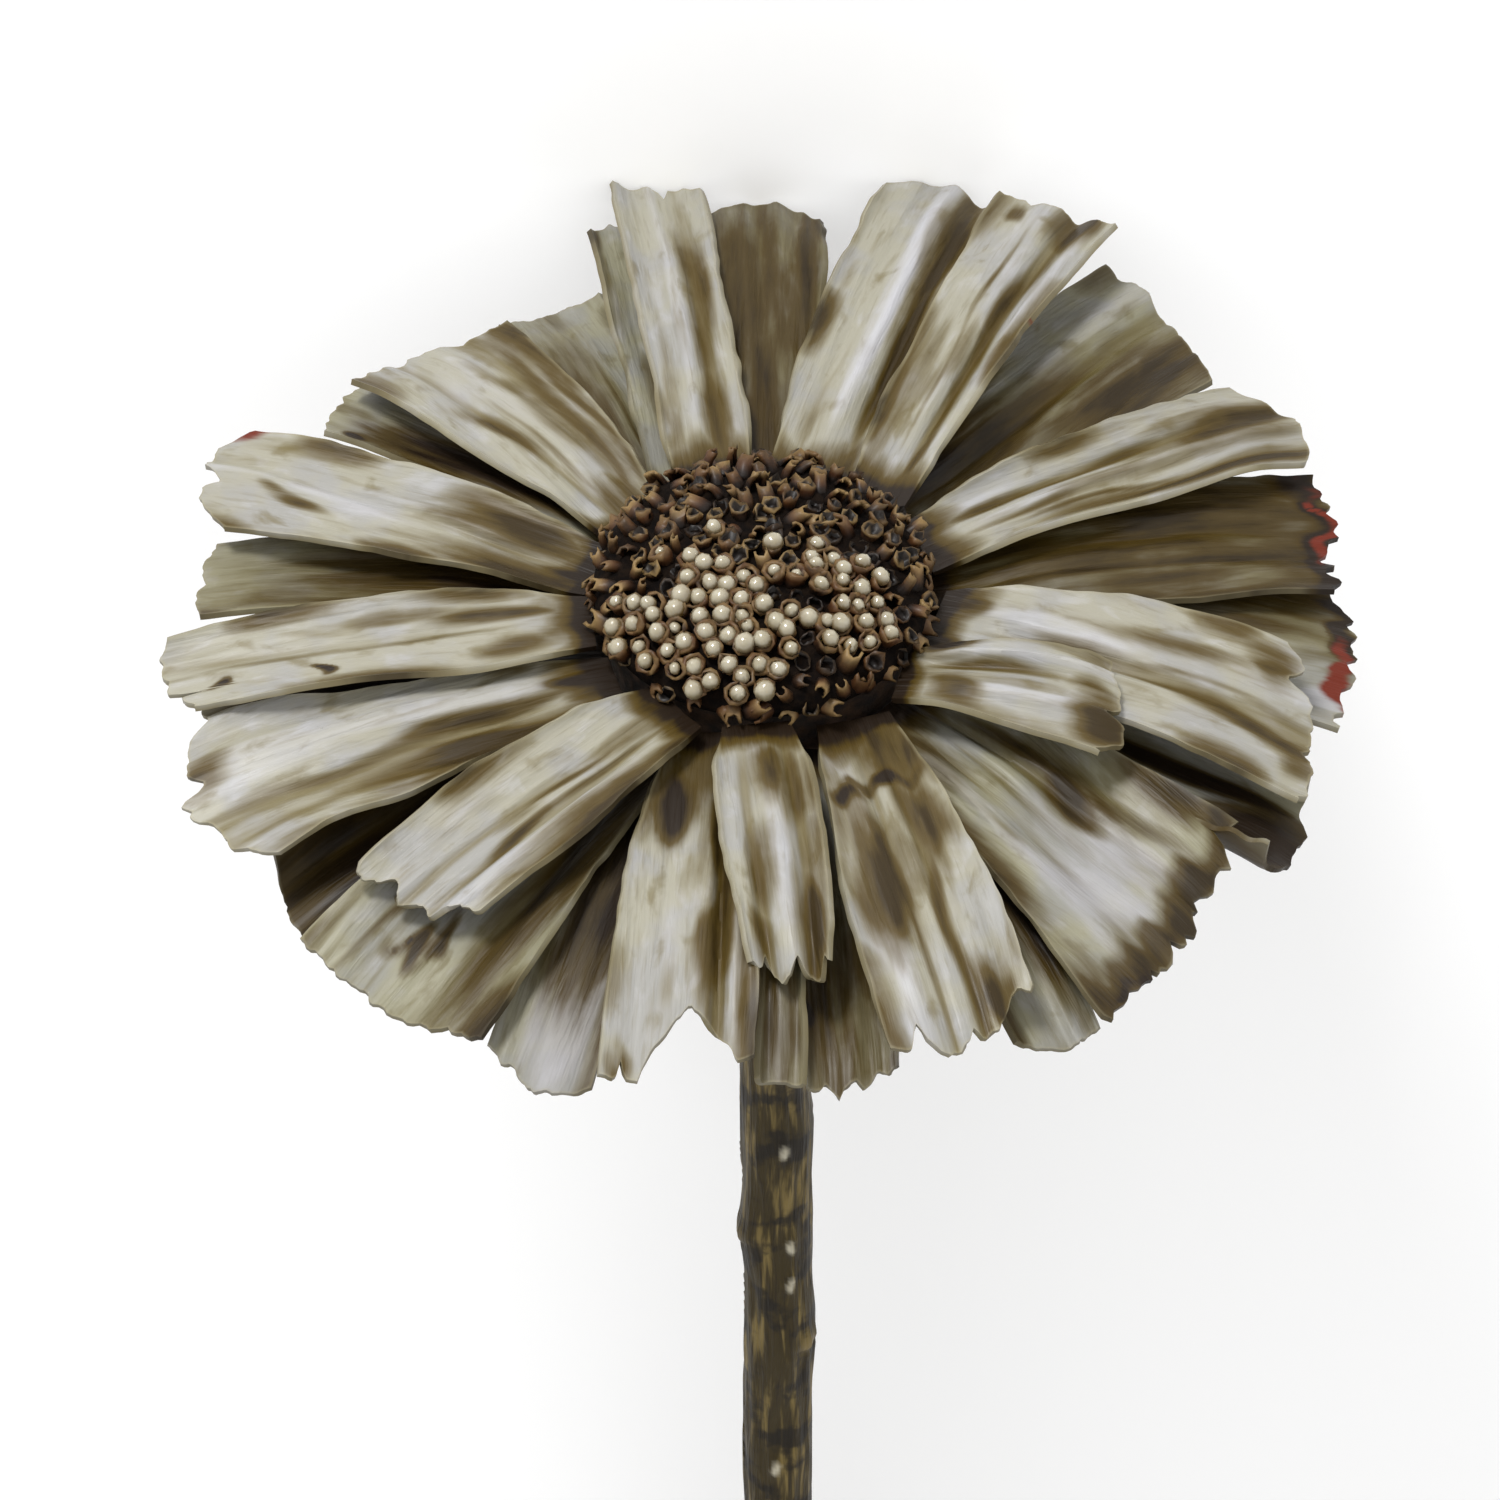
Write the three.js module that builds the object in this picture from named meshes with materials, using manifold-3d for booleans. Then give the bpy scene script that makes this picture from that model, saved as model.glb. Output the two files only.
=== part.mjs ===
// Waxed protea: a dried, waxed flower head with trimmed bracts on a cut woody stem, lying down.
// Millimetres, +Z up. The flower is first built upright round its own axis (+Z is the face of the
// flower, the stem runs down -Z) and is then laid on its side, so that it rests on the rim of the
// head and on the cut end of the stem. The origin is the middle of the bottom of its box.

import * as THREE from "three";
import { mergeVertices } from "three/addons/utils/BufferGeometryUtils.js";
import Module from "manifold-3d";

const wasm = await Module();
wasm.setup();

// ---- Driving dimensions (mm, degrees) ----

const GAP = 0.3; // clear space between pieces that touch in the real flower

const LYING_TILT = 12.19; // the face of the flower looks up by this much once it lies down
const LYING_ROLL = -2.15; // turn about the flower's own axis, so that it rests on two bracts

const DOME = { radius: 14.2, height: 5.0, seat: 1.6, rim: 0.8, sides: 28 };
const STUB = {
  count: 72,
  radius: 0.8,
  rise: 1.5,
  sink: 1.2,
  sides: 5,
  taper: 0.75,
  spread: 0.96, // the outermost stub stands at this share of the dome's radius
  uprightness: 1.1, // how steeply the stubs at the rim stand up
};
const GOLDEN_ANGLE = Math.PI * (3 - Math.sqrt(5));

const CUP = { topRadius: 13.4, waistRadius: 12.8, waistDepth: 6, sides: 28 };
const CUP_FOOT = { radius: 3.3, depth: 24 };

// The stem swings out sideways by sway, most of it within the first swayLength below the cup.
const STEM = { radius: 3.0, length: 208, sides: 12, steps: 34, sway: 1.5, swayLength: 20 };
const KNOB = { rise: 0.55, spacing: 14, length: 3.2 };

const BRACT_THICKNESS = 1.1;
const BRACT_STEPS = { along: 8, across: 4 };
const SCALE_THICKNESS = 1.2;
const SCALE_STEPS = { along: 5, across: 2 };

// Each layer of bracts springs from the cup a little lower than the one in front of it.
const LAYERS = {
  top: { rootRadius: 14.6, rootHeight: 0.6, tipHeight: -0.8 },
  front: { rootRadius: 14.6, rootHeight: -1.0, tipHeight: -3.0 },
  rear: { rootRadius: 14.2, rootHeight: -2.6, tipHeight: -5.4 },
  back: { rootRadius: 13.8, rootHeight: -4.2, tipHeight: -7.8 },
};

// One row is one bract of the front of the head, counter-clockwise from the top of the face.
// from, to: azimuth of the root and of the tip; reach: how far out the middle of the tip is from
// the axis; widths: at the root, the middle and the tip; crown: how far the corners of the tip
// fall back behind its middle; slant: how far the counter-clockwise corner reaches past the other
// one; cup: how far both edges stand above the middle line. A row that leaves out crown, slant or
// cup has the usual one, and a row with a tipHeight has its tip off the height of its layer.
const USUAL_BRACT = { crown: 1, slant: 0, cup: 0.5 };
const INNER_BRACTS = [
  {
    layer: "front", from: 106, to: 100, reach: 52.8,
    widths: [6.6, 7.7, 7.2], crown: 0.5, slant: 2, cup: 0.7,
  },
  {
    layer: "front", from: 137, to: 132, reach: 44,
    widths: [6, 11.5, 14.5], crown: 1.5, slant: 3, cup: 0.6,
  },
  { layer: "front", from: 163, to: 160, reach: 51, widths: [6, 10.5, 11.6], crown: 3.5, slant: -2 },
  { layer: "top", from: 192, to: 189, reach: 51, widths: [5.6, 9.4, 8.2], crown: 1.5, slant: -2 },
  {
    layer: "front", from: 214, to: 203.5, reach: 52,
    widths: [5.2, 11, 16], crown: 4.5, slant: -1, cup: 0.6,
  },
  {
    layer: "top", from: 241, to: 228, reach: 44,
    widths: [6.2, 11.2, 10.6], crown: 1.5, slant: -4, cup: 0.7,
  },
  { layer: "front", from: 250, to: 262, reach: 50.4, widths: [5, 11, 12.8], slant: -3, cup: 0.6 },
  { layer: "top", from: 268, to: 273.5, reach: 41.6, widths: [6.2, 8.5, 6.4], slant: 1 },
  {
    layer: "front", from: 301, to: 290, reach: 49.5,
    widths: [6.4, 11.6, 13.4], crown: 2, slant: -3, cup: 0.6,
  },
  {
    layer: "top", from: 323, to: 336, reach: 33,
    widths: [5.6, 8.8, 10.8], crown: 0.5, slant: -3, cup: 0.4, tipHeight: 1,
  },
  { layer: "front", from: 356, to: 345.5, reach: 47.8, widths: [6, 13.5, 16], crown: 1.5, slant: -6 },
  { layer: "front", from: 27, to: 28, reach: 52, widths: [5.8, 9, 10.2], crown: 3, slant: -1, cup: 0.7 },
  { layer: "top", from: 49, to: 61.5, reach: 53.5, widths: [5.2, 8.5, 10.8], crown: 0.5 },
  { layer: "front", from: 75, to: 72.5, reach: 55, widths: [7, 10.4, 9.8], cup: 0.7 },
];

const OUTER_BRACTS = [
  { layer: "rear", from: 118, to: 104, reach: 51, widths: [4, 5.2, 5.2], crown: 0.5, cup: 0.4 },
  { layer: "back", from: 120, to: 114, reach: 45.5, widths: [4, 7.4, 9], crown: 0.5, cup: 0.4 },
  { layer: "rear", from: 140, to: 143, reach: 45.5, widths: [4, 6.5, 7], slant: -1, cup: 0.4 },
  { layer: "rear", from: 168, to: 171, reach: 48.5, widths: [4.6, 8.5, 9], cup: 0.4 },
  { layer: "rear", from: 197, to: 191, reach: 48, widths: [4.6, 9, 9], cup: 0.4 },
  { layer: "back", from: 217, to: 217, reach: 48.5, widths: [4, 7.5, 9], crown: 1.5, cup: 0.4 },
  { layer: "rear", from: 233, to: 231.5, reach: 51, widths: [6, 13.5, 18.6], crown: 1.5, slant: -1 },
  { layer: "back", from: 240, to: 248, reach: 51, widths: [4.4, 7.5, 9.4], crown: 2, slant: 2 },
  { layer: "rear", from: 276, to: 272, reach: 48.5, widths: [2.6, 3.4, 3.4], crown: 0, cup: 0.2 },
  { layer: "back", from: 292, to: 279, reach: 48, widths: [4.8, 8, 7.8], slant: -1, cup: 0.4 },
  { layer: "back", from: 313, to: 300.5, reach: 49.5, widths: [4, 7, 7], slant: 1, cup: 0.4 },
  {
    layer: "rear", from: 321, to: 317, reach: 48.5,
    widths: [5, 16, 22.4], crown: 1.5, slant: -6, cup: 0.6,
  },
  { layer: "back", from: 333, to: 336, reach: 49.5, widths: [3.6, 6.6, 7.2], cup: 0.3 },
  { layer: "back", from: 4, to: 0, reach: 50, widths: [5, 11, 17], crown: 1.5 },
  { layer: "rear", from: 17, to: 14.5, reach: 50.5, widths: [5, 11.5, 13.5], slant: 2 },
  { layer: "rear", from: 43, to: 47.5, reach: 52, widths: [6.6, 13.5, 16], crown: 1.5, slant: 5, cup: 0.6 },
  { layer: "rear", from: 91, to: 90, reach: 51.8, widths: [6, 10.2, 10.4], crown: 3, tipHeight: -4.2 },
];

// The back of the head: rings of shorter scales on the cup, each ring in the gaps of the last.
const SCALE_RINGS = [
  { count: 10, depth: 8.6, rootRadius: 12.4, reach: 36, tipDepth: 11, widths: [6.4, 13, 10.4], crown: 4 },
  { count: 9, depth: 13.2, rootRadius: 10.4, reach: 25, tipDepth: 13.4, widths: [6, 10.6, 7.4], crown: 4 },
  { count: 7, depth: 18, rootRadius: 7.6, reach: 16, tipDepth: 16.4, widths: [5.4, 8.4, 5.2], crown: 2 },
];
const SCALE_CUP = 0.9; // both edges of a scale stand this far above its middle line
const BRACT_ARCH = 1.2; // the middle of a bract stands this far above the line from root to tip
const ROOT_CUP_SHARE = 0.3; // the cup grows from this share at the root to the whole at the tip

// ---- Materials ----

const BRACT_FACE = { color: 0xb5b19f, roughness: 0.45, metalness: 0 };
const BRACT_DARK = { color: 0x8e8871, roughness: 0.5, metalness: 0 };
const SCALE_BROWN = { color: 0x77694a, roughness: 0.55, metalness: 0 };
const FLORET_BROWN = { color: 0x6b4a2e, roughness: 0.6, metalness: 0 };
const CUP_BROWN = { color: 0x3a2a1a, roughness: 0.7, metalness: 0 };
const STEM_BARK = { color: 0x4b4027, roughness: 0.65, metalness: 0 };

// ---- Helpers ----

function polar(azimuthDegrees, radius, height) {
  const azimuth = THREE.MathUtils.degToRad(azimuthDegrees);
  return new THREE.Vector3(radius * Math.cos(azimuth), radius * Math.sin(azimuth), height);
}

// A smooth curve through three values at 0, 1/2 and 1.
function throughThree([start, middle, end], t) {
  return start * (1 - t) * (1 - 2 * t) + middle * 4 * t * (1 - t) + end * t * (2 * t - 1);
}

function piece(name, geometry, look) {
  const mesh = new THREE.Mesh(geometry, new THREE.MeshStandardMaterial(look));
  mesh.name = name;
  return mesh;
}

function numbered(prefix, index) {
  return `${prefix}_${String(index + 1).padStart(2, "0")}`;
}

// Only the positions, with shared corners merged, so that the mesh is one closed skin.
function closedSkin(geometry) {
  const MERGE_DISTANCE = 1e-3;
  geometry.deleteAttribute("normal");
  geometry.deleteAttribute("uv");
  const merged = mergeVertices(geometry, MERGE_DISTANCE);
  merged.computeVertexNormals();
  return merged;
}

// A thin curved plate: surfaceAt(along 0..1, across -1..1) is its middle surface, and its
// thickness falls towards the two long edges.
function curvedPlate(surfaceAt, steps, thickness) {
  const STEP = 1e-3;
  const EDGE_THINNING = 0.3;
  const geometry = new THREE.BoxGeometry(1, 1, 1, steps.along, steps.across, 1);
  const position = geometry.attributes.position;
  for (let i = 0; i < position.count; i += 1) {
    const along = position.getX(i) + 0.5;
    const across = position.getY(i) * 2;
    const middle = surfaceAt(along, across);
    const alongEdge = surfaceAt(along + STEP, across).sub(middle);
    const acrossEdge = surfaceAt(along, across + STEP).sub(middle);
    const normal = alongEdge.cross(acrossEdge).normalize();
    const halfThickness = thickness * (1 - EDGE_THINNING * across ** 2) * position.getZ(i);
    const point = middle.addScaledVector(normal, halfThickness);
    position.setXYZ(i, point.x, point.y, point.z);
  }
  return closedSkin(geometry);
}

// ---- Bracts and scales ----

// The middle surface of a bract or scale that runs straight out from its root to its tip.
function bractSurface(root, tip, { widths, crown, slant = 0, cup, arch = 0 }) {
  const run = tip.clone().sub(root);
  const planLength = Math.hypot(run.x, run.y);
  const sideways = new THREE.Vector3(-run.y, run.x, 0).divideScalar(planLength);
  return (along, across) => {
    const tipOffset = (slant * across) / 2 - crown * across ** 2;
    const reached = along * (1 + tipOffset / planLength);
    const point = root.clone().addScaledVector(run, reached);
    point.addScaledVector(sideways, (throughThree(widths, along) / 2) * across);
    point.z += arch * 4 * along * (1 - along);
    point.z += cup * across ** 2 * (ROOT_CUP_SHARE + (1 - ROOT_CUP_SHARE) * along);
    return point;
  };
}

function bractGeometry(row) {
  const layer = LAYERS[row.layer];
  const root = polar(row.from, layer.rootRadius, layer.rootHeight);
  const tip = polar(row.to, row.reach, row.tipHeight ?? layer.tipHeight);
  const surface = bractSurface(root, tip, { ...USUAL_BRACT, ...row, arch: BRACT_ARCH });
  return curvedPlate(surface, BRACT_STEPS, BRACT_THICKNESS);
}

function bractRow(prefix, rows, look) {
  return rows.map((row, i) => piece(numbered(prefix, i), bractGeometry(row), look));
}

function scaleRings() {
  const scales = [];
  SCALE_RINGS.forEach((ring, ringIndex) => {
    for (let i = 0; i < ring.count; i += 1) {
      const azimuth = (360 * (i + ringIndex / 2)) / ring.count;
      const root = polar(azimuth, ring.rootRadius, -ring.depth);
      const tip = polar(azimuth, ring.reach, -ring.tipDepth);
      const surface = bractSurface(root, tip, { ...ring, cup: SCALE_CUP });
      const geometry = curvedPlate(surface, SCALE_STEPS, SCALE_THICKNESS);
      scales.push(piece(numbered("base_scale", scales.length), geometry, SCALE_BROWN));
    }
  });
  return scales;
}

// ---- Cup, florets and stem ----

function receptacle() {
  const profile = [
    new THREE.Vector2(0, -CUP_FOOT.depth),
    new THREE.Vector2(CUP_FOOT.radius, -CUP_FOOT.depth),
    new THREE.Vector2(CUP.waistRadius, -CUP.waistDepth),
    new THREE.Vector2(CUP.topRadius, DOME.seat - GAP),
    new THREE.Vector2(0, DOME.seat - GAP),
  ];
  const geometry = new THREE.LatheGeometry(profile, CUP.sides);
  geometry.rotateX(Math.PI / 2);
  return piece("receptacle", closedSkin(geometry), CUP_BROWN);
}

function domeHeight(radius) {
  const bulge = Math.sqrt(Math.max(0, 1 - (radius / DOME.radius) ** 2));
  return DOME.seat + DOME.rim + (DOME.height - DOME.rim) * bulge;
}

function domeGeometry() {
  const RING_COUNT = 6;
  const profile = [new THREE.Vector2(0, DOME.seat), new THREE.Vector2(DOME.radius, DOME.seat)];
  for (let ring = 0; ring <= RING_COUNT; ring += 1) {
    const radius = DOME.radius * Math.cos((ring / RING_COUNT) * (Math.PI / 2));
    profile.push(new THREE.Vector2(ring === RING_COUNT ? 0 : radius, domeHeight(radius)));
  }
  const geometry = new THREE.LatheGeometry(profile, DOME.sides);
  geometry.rotateX(Math.PI / 2);
  return closedSkin(geometry);
}

// One floret stub, standing square to the dome at its place in the spiral.
function stubGeometry(index) {
  const radius = DOME.radius * STUB.spread * Math.sqrt((index + 0.5) / STUB.count);
  const azimuth = THREE.MathUtils.radToDeg(index * GOLDEN_ANGLE);
  const foot = polar(azimuth, radius, domeHeight(radius));
  const outward = polar(azimuth, radius / DOME.radius, STUB.uprightness).normalize();
  const geometry = new THREE.CylinderGeometry(
    STUB.radius * STUB.taper,
    STUB.radius,
    STUB.rise + STUB.sink,
    STUB.sides,
  );
  geometry.translate(0, (STUB.rise - STUB.sink) / 2, 0);
  geometry.applyQuaternion(
    new THREE.Quaternion().setFromUnitVectors(new THREE.Vector3(0, 1, 0), outward),
  );
  geometry.translate(foot.x, foot.y, foot.z);
  return closedSkin(geometry);
}

function toSolid(geometry) {
  return new wasm.Manifold(
    new wasm.Mesh({
      numProp: 3,
      vertProperties: new Float32Array(geometry.attributes.position.array),
      triVerts: new Uint32Array(geometry.index.array),
    }),
  );
}

function fromSolid(solid) {
  const mesh = solid.getMesh();
  const geometry = new THREE.BufferGeometry();
  geometry.setAttribute("position", new THREE.BufferAttribute(mesh.vertProperties, 3));
  geometry.setIndex(new THREE.BufferAttribute(mesh.triVerts, 1));
  geometry.computeVertexNormals();
  return geometry;
}

function floretDome() {
  let solid = toSolid(domeGeometry());
  for (let index = 0; index < STUB.count; index += 1) {
    solid = solid.add(toSolid(stubGeometry(index)));
  }
  return piece("floret_dome", fromSolid(solid), FLORET_BROWN);
}

// How far the stem's surface stands out at a leaf scar: low knobs in a spiral down the stem.
function knobRise(depth, azimuth) {
  const nearest = Math.round(depth / KNOB.spacing);
  const knobAzimuth = nearest * GOLDEN_ANGLE;
  const alongFade = Math.exp(-(((depth - nearest * KNOB.spacing) / KNOB.length) ** 2));
  const aroundFade = Math.max(0, Math.cos(azimuth - knobAzimuth)) ** 2;
  return KNOB.rise * alongFade * aroundFade;
}

function stem() {
  const top = -(CUP_FOOT.depth + GAP);
  const geometry = new THREE.CylinderGeometry(1, 1, 1, STEM.sides, STEM.steps);
  geometry.rotateX(Math.PI / 2);
  const position = geometry.attributes.position;
  for (let i = 0; i < position.count; i += 1) {
    const depth = (0.5 - position.getZ(i)) * STEM.length;
    const azimuth = Math.atan2(position.getY(i), position.getX(i));
    const onAxis = Math.hypot(position.getX(i), position.getY(i)) < 0.5;
    const radius = onAxis ? 0 : STEM.radius + knobRise(depth, azimuth);
    const lean = STEM.sway * (1 - Math.exp(-depth / STEM.swayLength));
    position.setXYZ(
      i,
      lean + radius * Math.cos(azimuth),
      radius * Math.sin(azimuth),
      top - depth,
    );
  }
  return piece("stem", closedSkin(geometry), STEM_BARK);
}

// ---- The flower, laid down ----

const flower = new THREE.Group();
flower.add(
  stem(),
  receptacle(),
  floretDome(),
  ...bractRow("inner_bract", INNER_BRACTS, BRACT_FACE),
  ...bractRow("outer_bract", OUTER_BRACTS, BRACT_DARK),
  ...scaleRings(),
);
flower.rotation.set(
  THREE.MathUtils.degToRad(90 - LYING_TILT),
  0,
  THREE.MathUtils.degToRad(180 + LYING_ROLL),
);

// The lowest points touch Z = 0, and the box is centred on the origin.
const box = new THREE.Box3().setFromObject(flower, true);
flower.position.set(-(box.min.x + box.max.x) / 2, -(box.min.y + box.max.y) / 2, -box.min.z);

const part = new THREE.Group();
part.add(flower);

export default part;
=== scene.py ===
"""Looks of the waxed protea: grooved, torn and waxed bracts, florets with wax beads, and bark.

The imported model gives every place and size. Each plain plate of the flower is read back as a
smooth surface, and a fine sheet with grooves, rolled edges and a torn tip is laid on it.
"""

import logging
import math
from dataclasses import dataclass, field
from enum import Enum

import bpy
import numpy as np
from mathutils import Matrix


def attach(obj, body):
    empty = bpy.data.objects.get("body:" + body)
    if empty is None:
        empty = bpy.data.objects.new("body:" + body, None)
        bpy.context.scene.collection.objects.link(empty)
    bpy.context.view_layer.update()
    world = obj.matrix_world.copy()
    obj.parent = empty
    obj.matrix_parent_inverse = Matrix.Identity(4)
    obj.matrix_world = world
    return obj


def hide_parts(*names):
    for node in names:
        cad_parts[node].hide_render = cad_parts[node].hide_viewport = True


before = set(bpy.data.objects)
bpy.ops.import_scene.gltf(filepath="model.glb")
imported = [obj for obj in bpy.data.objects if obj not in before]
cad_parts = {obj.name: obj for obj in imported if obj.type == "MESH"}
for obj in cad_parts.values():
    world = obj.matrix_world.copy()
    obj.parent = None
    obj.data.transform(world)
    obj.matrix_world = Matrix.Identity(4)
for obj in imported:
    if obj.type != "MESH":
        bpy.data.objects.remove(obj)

log = logging.getLogger("waxed_protea")

Array = np.ndarray
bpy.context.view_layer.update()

MM = 0.001
BODY = "root"

# The flower was laid down by these turns, in degrees, and its cup ends this high on its own axis.
LYING_TILT = 12.19
LYING_ROLL = -2.15
CUP_TOP_HEIGHT = 1.3

GOLDEN_ANGLE = math.pi * (3 - math.sqrt(5))


# ---- Small helpers ----


def smoothstep(low: float, high: float, value: Array) -> Array:
    """Rises smoothly from 0 at low to 1 at high.

    Args:
        low: value where the step starts.
        high: value where it ends.
        value: values to map.

    Returns:
        Steps between 0 and 1.
    """
    t = np.clip((value - low) / (high - low), 0, 1)
    return t * t * (3 - 2 * t)


def linear_colour(code: str) -> tuple[float, float, float, float]:
    """Turns an sRGB hex colour into the linear one that shaders use.

    Args:
        code: colour such as "#b5b19f".

    Returns:
        Linear red, green, blue and an alpha of 1.
    """
    channels = [int(code[i : i + 2], 16) / 255 for i in (1, 3, 5)]
    linear = [c / 12.92 if c <= 0.04045 else ((c + 0.055) / 1.055) ** 2.4 for c in channels]
    return (linear[0], linear[1], linear[2], 1.0)


class SmoothNoise:
    """Seeded two-dimensional value noise between -1 and 1."""

    SIZE = 64

    def __init__(self, seed: int) -> None:
        """Draws the lattice of this noise.

        Args:
            seed: number that fixes the lattice.
        """
        self.lattice = np.random.default_rng(seed).uniform(-1, 1, (self.SIZE, self.SIZE))

    def at(self, x: Array, y: Array) -> Array:
        """Reads the noise.

        Args:
            x: first coordinates, one lattice cell long.
            y: second coordinates.

        Returns:
            Values between -1 and 1.
        """
        x, y = np.broadcast_arrays(np.asarray(x, float), np.asarray(y, float))
        col, row = np.floor(x).astype(int), np.floor(y).astype(int)
        fx, fy = x - col, y - row
        fx, fy = fx * fx * (3 - 2 * fx), fy * fy * (3 - 2 * fy)
        c0, c1 = col % self.SIZE, (col + 1) % self.SIZE
        r0, r1 = row % self.SIZE, (row + 1) % self.SIZE
        near = self.lattice[r0, c0] * (1 - fx) + self.lattice[r0, c1] * fx
        far = self.lattice[r1, c0] * (1 - fx) + self.lattice[r1, c1] * fx
        return near * (1 - fy) + far * fy


@dataclass(frozen=True)
class HeadFrame:
    """The flower's own axes: its face looks along +z and +y is the top of the face.

    Attributes:
        origin: middle of the head at height 0, in metres in the row frame.
        axes: the x, y and z axes as rows.
    """

    origin: Array
    axes: Array

    @classmethod
    def of_lying_flower(cls) -> "HeadFrame":
        """Finds the axes from the turns that laid the flower down and from the cup's rim.

        Returns:
            The flower's own axes.
        """
        tilt, roll = math.radians(90 - LYING_TILT), math.radians(180 + LYING_ROLL)
        about_x = np.array(
            [[1, 0, 0], [0, math.cos(tilt), -math.sin(tilt)], [0, math.sin(tilt), math.cos(tilt)]]
        )
        about_z = np.array(
            [[math.cos(roll), -math.sin(roll), 0], [math.sin(roll), math.cos(roll), 0], [0, 0, 1]]
        )
        axes = (about_x @ about_z).T
        points = node_points("receptacle")[0]
        heights = points @ axes[2]
        rim = points[heights > heights.max() - 0.05 * MM]
        return cls(rim.mean(0) - axes[2] * CUP_TOP_HEIGHT * MM, axes)

    def local(self, points: Array) -> Array:
        """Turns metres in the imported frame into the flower's own millimetres."""
        return (points - self.origin) @ self.axes.T / MM

    def world(self, points: Array) -> Array:
        """Turns the flower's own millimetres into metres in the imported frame."""
        return self.origin + (points * MM) @ self.axes


def node_points(node: str) -> tuple[Array, Array]:
    """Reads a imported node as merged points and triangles.

    Args:
        node: name of the node.

    Returns:
        Its distinct points in metres, and three point numbers for each triangle.
    """
    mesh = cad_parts[node].data
    points = np.zeros(len(mesh.vertices) * 3)
    mesh.vertices.foreach_get("co", points)
    keys = np.round(points.reshape(-1, 3) / MM, 3)
    distinct, number = np.unique(keys, axis=0, return_inverse=True)
    mesh.calc_loop_triangles()
    corners = np.zeros(len(mesh.loop_triangles) * 3, int)
    mesh.loop_triangles.foreach_get("vertices", corners)
    return distinct * MM, number.ravel()[corners].reshape(-1, 3)


def nodes_called(prefix: str) -> list[str]:
    """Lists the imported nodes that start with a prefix, in order."""
    return sorted(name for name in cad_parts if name.startswith(prefix))


def start_fresh() -> None:
    """Leaves edit mode and deselects everything, so that an operator acts on the new piece."""
    if bpy.context.mode != "OBJECT":
        bpy.ops.object.mode_set(mode="OBJECT")
    bpy.ops.object.select_all(action="DESELECT")


def positions(obj: bpy.types.Object) -> Array:
    """Reads where an object's vertices are.

    Args:
        obj: mesh object.

    Returns:
        One point per vertex.
    """
    values = np.zeros(len(obj.data.vertices) * 3)
    obj.data.vertices.foreach_get("co", values)
    return values.reshape(-1, 3)


def set_positions(obj: bpy.types.Object, points: Array) -> None:
    """Moves the object's vertices to points."""
    obj.data.vertices.foreach_set("co", np.ascontiguousarray(points, np.float32).ravel())
    obj.data.update()


def set_attribute(obj: bpy.types.Object, name: str, channels: list[Array]) -> None:
    """Stores up to three channels per vertex as a colour attribute.

    Args:
        obj: mesh object.
        name: name of the attribute.
        channels: one array of values per channel.
    """
    values = np.zeros((len(obj.data.vertices), 4), np.float32)
    values[:, 3] = 1
    for i, channel in enumerate(channels):
        values[:, i] = channel
    attribute = obj.data.attributes.get(name)
    if attribute is None:
        attribute = obj.data.attributes.new(name, "FLOAT_COLOR", "POINT")
    attribute.data.foreach_set("color", values.ravel())


def set_fibre_map(obj: bpy.types.Object, along: Array, across: Array) -> None:
    """Gives a mesh a UV map that follows its fibres, with one unit per 100 mm.

    Args:
        obj: mesh object.
        along: distance along the fibres at each vertex, in mm.
        across: distance across them, in mm.
    """
    mesh = obj.data
    layer = mesh.uv_layers.get(FIBRE_MAP) or mesh.uv_layers.new(name=FIBRE_MAP)
    corner = np.zeros(len(mesh.loops), int)
    mesh.loops.foreach_get("vertex_index", corner)
    uv = np.stack([along[corner], across[corner]], 1) / FIBRE_MAP_SPAN
    layer.uv.foreach_set("vector", uv.astype(np.float32).ravel())


def finish_piece(
    obj: bpy.types.Object, name: str, replaces: list[str], material: bpy.types.Material
) -> None:
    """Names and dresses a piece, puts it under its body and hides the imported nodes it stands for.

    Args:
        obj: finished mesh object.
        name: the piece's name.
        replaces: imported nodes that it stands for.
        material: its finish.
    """
    obj.name = name
    obj.data.name = name
    obj.data.materials.clear()
    obj.data.materials.append(material)
    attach(obj, BODY)
    if replaces:
        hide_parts(*replaces)
    log.info("%s: %d faces", name, len(obj.data.polygons))


# ---- Finishes ----

FIBRE_MAP = "fibres"
FIBRE_MAP_SPAN = 100.0  # mm per unit of the fibre map
TONES = "tones"  # red: brown stain, green: near-black stains and painted shade, blue: milky wax and painted highlights
MARKS = "marks"  # red: red-brown char, green: closeness to an edge, blue: 1 on the back
RIDGE = "ridge"  # 0 in a groove, 1 on a ridge

Socket = bpy.types.NodeSocket
Tree = bpy.types.NodeTree


def add_node(tree: Tree, kind: str, links: dict | None = None, **settings: object) -> bpy.types.Node:
    """Adds a shader node with its settings and links.

    Args:
        tree: node tree that gets the node.
        kind: the node's type, without the ShaderNode that all of them start with.
        links: input socket name or number, with a constant or another node's output socket.
        settings: properties of the node.

    Returns:
        The new node.
    """
    node = tree.nodes.new("ShaderNode" + kind)
    for name, value in settings.items():
        setattr(node, name, value)
    for key, value in (links or {}).items():
        socket = node.inputs[key]
        if isinstance(value, Socket):
            tree.links.new(value, socket)
        else:
            socket.default_value = value
    return node


def new_material(name: str) -> tuple[bpy.types.Material, Tree]:
    """Makes a material with an empty node tree.

    Args:
        name: the material's name.

    Returns:
        The material and its tree.
    """
    material = bpy.data.materials.new(name)
    material.use_nodes = True
    material.node_tree.nodes.clear()
    return material, material.node_tree


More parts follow.
